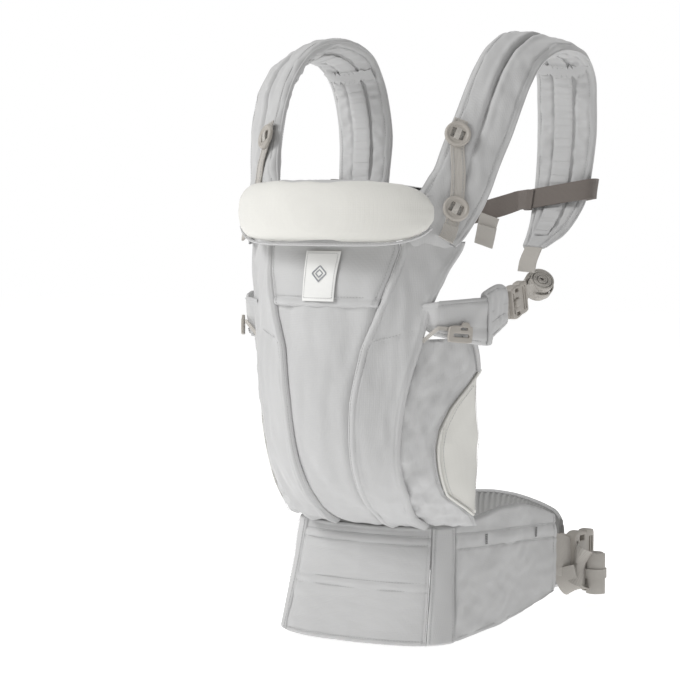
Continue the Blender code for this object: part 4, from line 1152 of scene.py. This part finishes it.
def build_arm(side, flip):
    steps = np.concatenate([np.linspace(-0.06, 0, 5)[:-1], np.linspace(0, 1, 90)])
    rows_ = [arm_visual(t) for t in steps]
    mid = np.array([r[0] for r in rows_])
    tan, a, up = frames(mid, (0.0, -0.2, 0.98))
    if np.dot(up[40], (1, 0, 0)) < 0:
        up = -up
    rings_ = []
    n = 60
    for i, t in enumerate(steps):
        half = rows_[i][1] / 2 * lerp([(-.1, 1), (0.93, 1), (0.97, 0.94), (1, 0.80)], t)
        th = lerp([(-0.06, 2.0), (0.05, 3.2), (0.5, 3.9), (0.97, 3.6), (1, 1.6)], t)
        ring = []
        for j in range(n):
            q = 2 * math.pi * j / n
            k = math.copysign(abs(math.cos(q)) ** 0.7, math.cos(q))
            h = th * (1 - abs(k) ** 5) ** 0.5 * (1 if math.sin(q) >= 0 else -1)
            x = k * half
            for y, depth in ((half - 4.5, 0.7), (-half + 4.5, 0.7), (2.0, 0.9), (-9.0, 0.9)):
                if math.sin(q) > 0:
                    h -= depth * math.exp(-((x - y) / 1.1) ** 2)
            p = mid[i] + a[i] * x + up[i] * h
            w = noise.noise(Vector((p[0] / 13, p[1] / 13, p[2] / 16 + 31))) * 1.5
            ring.append(p + up[i] * w * (1 if math.sin(q) > 0 else -0.3))
        rings_.append(ring)
    obj = loft("wrap_arm_" + side, rings_, M_GREY, CAR, flip_x=flip, replaces=("side_arm_" + side,))

    def top(t, x, lift=0.3):
        i = int(np.clip(np.searchsorted(steps, t), 0, len(steps) - 1))
        half = rows_[i][1] / 2
        k = min(0.99, abs(x) / half)
        return mid[i] + a[i] * x + up[i] * (3.6 * (1 - k ** 5) ** 0.5 + lift)
    edge_lines = [[top(t, rows_[int(np.searchsorted(steps, t))][1] / 2 * sgn - 4.5 * sgn, -0.2) for t in np.linspace(0.02, 0.95, 90)] for sgn in (-1, 1)]
    mid_lines = [[top(t, x, -0.3) for t in np.linspace(0.42, 0.95, 60)] for x in (2.0, -9.0)]
    stitched("wrap_arm_stitching_" + side, edge_lines + mid_lines, M_THREAD, CAR, flip_x=flip)
    # binding across the arm, behind the slider
    pts = [top(0.41, x, 0.9) for x in np.linspace(-26, 26, 30)]
    tn = tan[int(np.searchsorted(steps, 0.41))]
    web("wrap_arm_binding_" + side, pts, tn, 7.0, 1.8, M_GREY, CAR, flip_x=flip)
    # bartack under the slider
    stitched("wrap_arm_bartack_" + side, [[top(0.21, x, 0.4) for x in np.linspace(-22, -16, 5)]], M_SEAM, CAR, 1.6, 1.5, 0.8, flip_x=flip)
    # points for a rounded ear at the end of the arm, left unused; the webbing that anchors the side receiver
    ear = [buckle_point(-4.5, u, 1.2) for u in np.linspace(-19, 19, 20)]
    web("side_anchor_webbing_" + side, [buckle_point(r, 0, 0) for r in np.linspace(-7.5, 1.5, 8)], BUCKLE_UP, 30.0, 2.2, M_WEB, CAR, flip_x=flip)
    at, run, out = slider_frame(SLIDER_T)
    ctr = at + out * 7.8 + np.array([0, 0, -13.0])
    hook = smooth_ring([(-15, -9), (-15, 2), (-13, 6), (-6, 7.4), (0, 7.4), (3, 11), (9, 11), (12, 7.4), (15, 5), (15, -8), (12, -11), (-11, -11)], 4)
    moulded("width_hook_" + side, ctr, run, (0, 0, 1), hook, 3.6, M_PLASTIC, "slider_" + side,
            [rounded(20, 3.6, 1.6, 1.0, -3.0)[::-1], rounded(9, 2.6, 1.2, 4.0, 4.2)[::-1]], 1.0, ("width_slider_" + side,), flip)
    pts = []
    for t in np.linspace(-0.06, SLIDER_T - 0.07, 18):
        q, r_, o = slider_frame(max(t, 0.031))
        base = arm_visual(t)[0]
        pts.append(base + o * (5.4 if t > 0 else 5.4 + 40 * t) + np.array([0, 0, -10.0 - 18 * max(0, -t) / 0.06]))
    web("width_slider_cord_" + side, pts, (0, 0, 1), 4.2, 1.6, M_WEB, CAR, flip_x=flip, replaces=("slider_webbing_" + side,))
    female("side_receiver_" + side, buckle_point(12, 0, 0), BUCKLE_DIR, BUCKLE_UP, 23, 19, 12, CAR, flip, "side_buckle_female_" + side, (10, 9.6))
    clip = "side_clip_" + side
    male_half("side_plug_" + side, buckle_point(33.0, 0, 0), BUCKLE_DIR, BUCKLE_UP, 18, 19, 10, 16, clip, flip, "side_buckle_male_" + side)
    moulded("side_press_" + side, buckle_point(11.0, 0, 6.3), BUCKLE_DIR, BUCKLE_UP, rounded(10.6, 9.2, 2.4), 4.0, M_PLASTIC, "side_button_" + side, (), 1.1,
            ("side_buckle_button_" + side,), flip)
    roll("side_roll_" + side, ROLL_AT, ROLL_AXIS, 15.8, 25.0, clip, flip, ("webbing_roll_" + side,))
    ring_ = hoop(ROLL_AT, ROLL_AXIS, 16.9)
    web("side_roll_band_" + side, ring_, ROLL_AXIS, 9.0, 1.5, M_WEB, clip, closed=True, flip_x=flip, replaces=("roll_keeper_" + side,))
    start = buckle_point(36.5, 0, 0)
    lead = [spline([start, start + np.array([0.5, 4, 2]), ROLL_AT + np.array([-2, -20, -7]), ROLL_AT + np.array([-1, -15, -11.5])], t) for t in np.linspace(0, 1, 16)]
    web("side_roll_lead_" + side, lead, BUCKLE_UP * 0.8 + np.array(ROLL_AXIS) * 0.5, 22.0, 1.8, M_WEB, clip, flip_x=flip)


def hoop(at, axis, radius, n=48):
    axis = unit(axis)
    a = unit(np.cross(axis, (0.0, 0.3, 1.0)))
    b = np.cross(axis, a)
    return np.array([np.asarray(at) + (a * math.cos(q) + b * math.sin(q)) * radius for q in np.linspace(0, 2 * math.pi, n, endpoint=False)])


def roll(name, at, axis, radius, width, body, flip, nodes, turns=5.0):
    """A tail of webbing wound up on itself: one spiral strip, its free end just lifted."""
    axis = unit(axis)
    a = unit(np.cross(axis, (0.0, 0.3, 1.0)))
    b = np.cross(axis, a)
    pts = []
    for q in np.linspace(0.0, 1.0, int(46 * turns)):
        ang = q * turns * 2 * math.pi
        r = 2.0 + (radius - 2.6) * q + 0.35 * math.sin(ang * 0.5 + 1.0)
        if q > 0.985:
            r += (q - 0.985) * 60
        pts.append(np.asarray(at) + (a * math.cos(ang) * 1.0 + b * math.sin(ang) * 0.94) * r)
    web(name, pts, axis, width, (radius - 2.6) / turns * 0.86, M_WEB, body, flip_x=flip, replaces=nodes)


each(build_arm)


# ---- waistband ---------------------------------------------------------------------------------------------------
def front(s, t):
    return front_belt(s, t)


def front_relief(a, b, c, d, g):
    out = ripple(g, 26, (1.6, 1, 1), 2.0, 4.4) + ripple(g, 10, (1.8, 1, 0.8), 0.6, 8.8)
    for z in (116, 106.5, 66, 57):
        out = out + groove(g[..., 2], z, 0.9, 0.9)
    for lo, hi in ((106.5, 116), (57, 66)):
        out = out + 0.8 * np.exp(-((g[..., 2] - (lo + hi) / 2) / 3.4) ** 2)
    return out + groove(np.minimum(a, b), 3.2, 0.7) + groove(c, 5.0, 0.7) + groove(d, 4.0, 0.5) + 1.0 * np.sin(np.clip(c / 126, 0, 1) * math.pi)


panel("belt_front_cover", front, 90, 90, 4.4, M_GREY, CAR, front_relief, (1.4, 1.4, 4, 3), 0.4, level=True, replaces=("waistband_front_panel",))
tape = on(front, [(s, 0.995) for s in np.linspace(0.03, 0.97, 90)], -5.4)
# the seam tape takes the grey cotton painted darker as shade
web("belt_seam_tape", tape + np.array([0, 0, 1.5]), (0.0, -0.1, 1.0), 15.0, 1.2, M_GREY_SHADED, CAR)
stitched("belt_front_stitching", [on(front, [(s, z / 126) for s in np.linspace(0.015, 0.985, 120)], 1.0) for z in (116, 106.5, 66, 57, 5)], M_THREAD, CAR)


def core(s, t):
    return front_belt(s, 0.97 * t + 0.0, 5.4, 0.93)


# the lining inside the belt takes the grey cotton painted darker as shade
lining = panel("belt_front_lining", core, 60, 40, 10.2, M_GREY_SHADED, CAR, lambda a, b, c, d, g: ripple(g, 22, (1.2, 1, 1), 0.6, 17.0) - 0.6, (4, 4, 4, 4), level=True,
               replaces=("waistband_foam_core",))


def build_belt(side, flip):
    body = "belt_" + side

    def strip(s, t):
        return belt(FRONT_END + 0.002 + s * (STRIP_END - FRONT_END + 0.004), t)
    panel("width_strip_" + side, strip, 24, 70, 7.0, M_GREY, CAR,
          lambda a, b, c, d, g: groove(np.minimum(a, b), 3.6, 0.8) + ripple(g, 20, (1, 1, 2), 1.2, 2.5) + 0.9, (3.2, 3.2, 4, 3), 0.8, True,
          flip_x=flip, replaces=("seat_width_strip_" + side,))
    stitched("width_strip_stitching_" + side, [inset_line(strip, 0, 3.6, 2.2, 60, 0.02, 0.98), inset_line(strip, 1, 3.6, 2.2, 60, 0.02, 0.98)], M_THREAD, CAR, flip_x=flip)

    def wing(s, t):
        return belt(STRIP_END + 0.006 + s * (1 - STRIP_END - 0.006), t)

    def band_top(u):
        return 120.0 - 19.0 * u

    def wing_at(s, z):
        lo, hi = wing(s, 0)[2], wing(s, 1)[2]
        return (s, (z - lo) / (hi - lo))

    def wing_relief(a, b, c, d, g):
        out = ripple(g, 30, (1, 1.5, 1), 3.4, 6.1) + ripple(g, 12, (1, 1.4, 1), 1.1, 3.7)
        dist = c + d
        frac = c / np.maximum(dist, 1)
        pull = 0.5 * np.sin(a / 5.0) * np.exp(-((frac - 0.7) / 0.25) ** 2) * np.exp(-(a / 30) ** 2)
        return (out + 2.2 * np.sin(np.clip(frac, 0, 1) * math.pi) ** 0.8 + pull + groove(g[..., 2] - band_top(a / np.maximum(a + b, 1)), 0, 1.2, 1.1) + groove(g[..., 2] - band_top(a / np.maximum(a + b, 1)), -17, 1.2, 1.1)
                + 1.4 * np.exp(-((g[..., 2] - band_top(a / np.maximum(a + b, 1)) + 8.5) / 5.5) ** 2) + groove(b, 9.5, 1.0, 1.0) + groove(c, 5, 0.7) + 0.5 * np.exp(-((b - 5) / 4) ** 2))
    obj = panel("belt_wing_" + side, wing, 110, 80, 11.5, M_GREY, body, wing_relief, (3, 4, 5, 4), 0.2, True, bends=True, flip_x=flip,
                replaces=("waist_wing_" + side, "webbing_casing_" + side))
    lines = [on(wing, [wing_at(s, band_top(s) - k) for s in np.linspace(0.02, 0.935, 110)], 2.9) for k in (0, 17)]
    lines += [on(wing, [(0.945, t) for t in np.linspace(0.04, 0.96, 50)], 2.2), on(wing, [(s, 0.045) for s in np.linspace(0.02, 0.98, 100)], 1.4)]
    stitched("belt_wing_stitching_" + side, lines, M_THREAD, body, bends=True, flip_x=flip)
    tacks = []
    for s in (0.245, 0.69):
        for k in (-0.006, 0.0, 0.006):
            tacks.append(on(wing, [wing_at(s + k, band_top(s) - q) for q in np.linspace(2.5, 14.5, 8)], 4.0))
    stitched("belt_wing_bartack_" + side, tacks, M_SEAM, body, 2.0, 1.9, 0.5, bends=True, flip_x=flip)


each(build_belt)


# ---- belt closure --------------------------------------------------------------------------------------------------
def run_web(name, points, body, node, n=30, width=WAIST_WEB - 1.5, across=(0.0, 0, 1.0)):
    web(name, [spline(points, t) for t in np.linspace(0, 1, n)], across, width, 2.6, M_WEB, body, replaces=node)


run_web("belt_web_right", [(107.5, 137, 65.5), (108.5, 143, 64), (111, 148.5, 62), (113, 152, 60.5), (115, 155.5, 59), (118.5, 164, 56), (120.5, 171, 55)], "belt_right", ("waist_webbing_right",))
R, O = BELT_RUN, BELT_OUT
female("belt_receiver", belt_point(15, 0, 0), R, (0, 0, 1), 29, 31, 14, "belt_right", False, "waist_buckle_female", (14, 12.6))
male_half("belt_plug", belt_point(40, 0, 0), R, (0, 0, 1), 20, 31, 12, 24, "waist_clip", False, "waist_buckle_male")
moulded("belt_press", belt_point(14, 7.0, 0), R, (0, 0, 1), rounded(13.2, 11.4, 3), 4.4, M_PLASTIC, "waist_button", (), 1.2, ("waist_buckle_button",))
roll("belt_tail_roll", belt_point(19, 24.5, -19), (0, 0, 1.0), 11.8, 50.0, "belt_right", False, ("waist_roll",), 4.5)
web("belt_tail_band", hoop(belt_point(19, 24.5, -19), (0, 0, 1.0), 12.9), (0, 0, 1.0), 11.5, 1.6, M_WEB, "belt_right", closed=True, replaces=("waist_roll_keeper",))
lead = [spline([belt_point(3, 3, -1), belt_point(-1, 9.5, -6), belt_point(3, 15.0, -13), belt_point(12, 14.2, -18), belt_point(19, 13.2, -19)], t) for t in np.linspace(0, 1, 26)]
web("belt_tail_lead", lead, (0.0, 0, 1.0), 46.0, 2.0, M_WEB, "belt_right")


hang = [spline([belt_point(-13, -2, -10), belt_point(-10, 2, -28), belt_point(-2, 6, -38), belt_point(8, 9, -37), belt_point(15, 11, -28), belt_point(17, 12.2, -22)], t)
        for t in np.linspace(0, 1, 40)]
web("belt_tail_loop", hang, np.array([0.75, 0.25, 0.3]), 26.0, 2.2, M_WEB, "belt_right")


# ---- lumbar pad ---------------------------------------------------------------------------------------------------
PLEATS = 46


def lumbar():
    rows_ = np.array([spline(PAD, t) for t in np.linspace(0, 1, 300)])
    heights = np.array([lerp([(0, 78), (0.04, 88), (0.12, 94), (0.5, 106), (0.85, 98), (1, 84)], t) for t in np.linspace(0, 1, 300)])
    tan, a, up = frames(rows_, (0.0, 0, 1.0))
    rings_ = []
    n = 44
    for i, t in enumerate(np.linspace(0, 1, 300)):
        th = 6.6 * lerp([(0, 0.5), (0.03, 1), (0.97, 1), (1, 0.5)], t)
        ring = []
        for j in range(n):
            q = 2 * math.pi * j / n
            c, s_ = math.cos(q), math.sin(q)
            k = math.copysign(abs(c) ** 0.65, c)
            pleat = math.sin(t * PLEATS * 2 * math.pi + 1.2 * noise.noise(Vector((t * 40, k * 2, 4)))) * (0.3 + 0.7 * abs(k) ** 2)
            h = th * (1 - abs(k) ** 4) ** 0.5 * (1 if s_ >= 0 else -1)
            grow = 1.25 * pleat * (1 if s_ >= 0 else -1)
            z = k * (heights[i] / 2 - 2.5 + 0.9 * pleat * abs(k))
            gr = -1.3 * math.exp(-((abs(z) - heights[i] / 2 + 10) / 1.6) ** 2) * (1 if s_ >= 0 else -1)
            ring.append(rows_[i] + a[i] * z + up[i] * (h + grow * 0.9 + gr))
        rings_.append(ring)
    # the lumbar pad takes the grey cotton painted darker as shade
    obj = loft("lumbar_cushion", rings_, M_GREY_SHADED, "belt_left", replaces=("lumbar_pad",))
    for k, name in ((1, "upper"), (-1, "lower")):
        pts = [rows_[i] + a[i] * k * (heights[i] / 2 - 1.0) for i in range(4, 297, 3)]
        cord("lumbar_binding_" + name, pts, 2.1, M_GREY, "belt_left")


lumbar()
run_web("belt_web_left", [(-107, 138, 65.5), (-109.5, 143, 64.6), (-110.0, 145.6, 64), (-109.8, 150, 63.7), (-109.4, 158.0, 63.2), (-108.5, 165, 63)], "belt_left", ("waist_webbing_left",), 20)
run_web("belt_web_rear", [(88, 206, 55), (94.8, 199.6, 55), (99, 195.8, 55), (103.5, 194, 55), (108, 194.0, 55), (110.5, 195, 55)], "belt_left", ("waist_webbing_rear",), 24)


# ---- floor, light, camera -----------------------------------------------------------------------------------------
def stage():
    bm = bmesh.new()
    n = 40
    rows_ = []
    for i in range(n + 1):
        y = 6.0 - 12.0 * i / n
        rows_.append([bm.verts.new((x, y, -0.0035)) for x in (-8, 8)])
    for r0, r1 in zip(rows_, rows_[1:]):
        bm.faces.new((r0[0], r1[0], r1[1], r0[1]))
    mesh = bpy.data.meshes.new("floor")
    bm.to_mesh(mesh)
    bm.free()
    floor = bpy.data.objects.new("floor", mesh)
    bpy.context.scene.collection.objects.link(floor)
    m = bpy.data.materials.new("pale_floor")
    m.use_nodes = True
    shader = m.node_tree.nodes["Principled BSDF"]
    shader.inputs["Base Color"].default_value = (0.93, 0.93, 0.93, 1)
    shader.inputs["Roughness"].default_value = 0.9
    shader.inputs["Specular IOR Level"].default_value = 0.1
    shader.inputs["Emission Color"].default_value = (1, 1, 1, 1)
    shader.inputs["Emission Strength"].default_value = 0.66
    mesh.materials.append(m)


stage()
scene = bpy.context.scene
world = bpy.data.worlds.new("studio")
scene.world = world
world.use_nodes = True
tree = world.node_tree
backdrop = tree.nodes["Background"]
backdrop.inputs["Color"].default_value = (1, 1, 1, 1)
backdrop.inputs["Strength"].default_value = 1.0
room = tree.nodes.new("ShaderNodeBackground")
room.inputs["Color"].default_value = (1, 0.995, 0.985, 1)
room.inputs["Strength"].default_value = 0.36
path = tree.nodes.new("ShaderNodeLightPath")
mix = tree.nodes.new("ShaderNodeMixShader")
tree.links.new(path.outputs["Is Camera Ray"], mix.inputs["Fac"])
tree.links.new(room.outputs["Background"], mix.inputs[1])
tree.links.new(backdrop.outputs["Background"], mix.inputs[2])
tree.links.new(mix.outputs["Shader"], tree.nodes["World Output"].inputs["Surface"])


def area(name, at, to, size, energy):
    light = bpy.data.lights.new(name, "AREA")
    light.shape = "DISK"
    light.size = size
    light.energy = energy
    obj = bpy.data.objects.new(name, light)
    bpy.context.scene.collection.objects.link(obj)
    obj.location = at
    obj.rotation_euler = (Vector(to) - Vector(at)).to_track_quat("-Z", "Y").to_euler()


area("key", (-1.5, -1.9, 2.3), (0, -0.1, 0.35), 1.2, 53.0)
area("fill", (2.2, -1.3, 1.1), (0, 0, 0.35), 1.6, 1.0)
area("top", (0.2, 0.9, 2.4), (0, 0, 0.4), 1.4, 9.0)

scene.view_settings.view_transform = "Standard"
scene.view_settings.look = "None"

camera = bpy.data.cameras.new("camera")
camera.sensor_width = 36.0
camera.lens = 115.508
cam = bpy.data.objects.new("camera", camera)
bpy.context.scene.collection.objects.link(cam)
az, el = math.radians(30), math.radians(4)
forward = Vector((-math.sin(az) * math.cos(el), math.cos(az) * math.cos(el), -math.sin(el)))
cam.location = Vector((0, -0.183, 0.338)) - forward * 2.4
cam.rotation_euler = forward.to_track_quat("-Z", "Y").to_euler()
scene.camera = cam
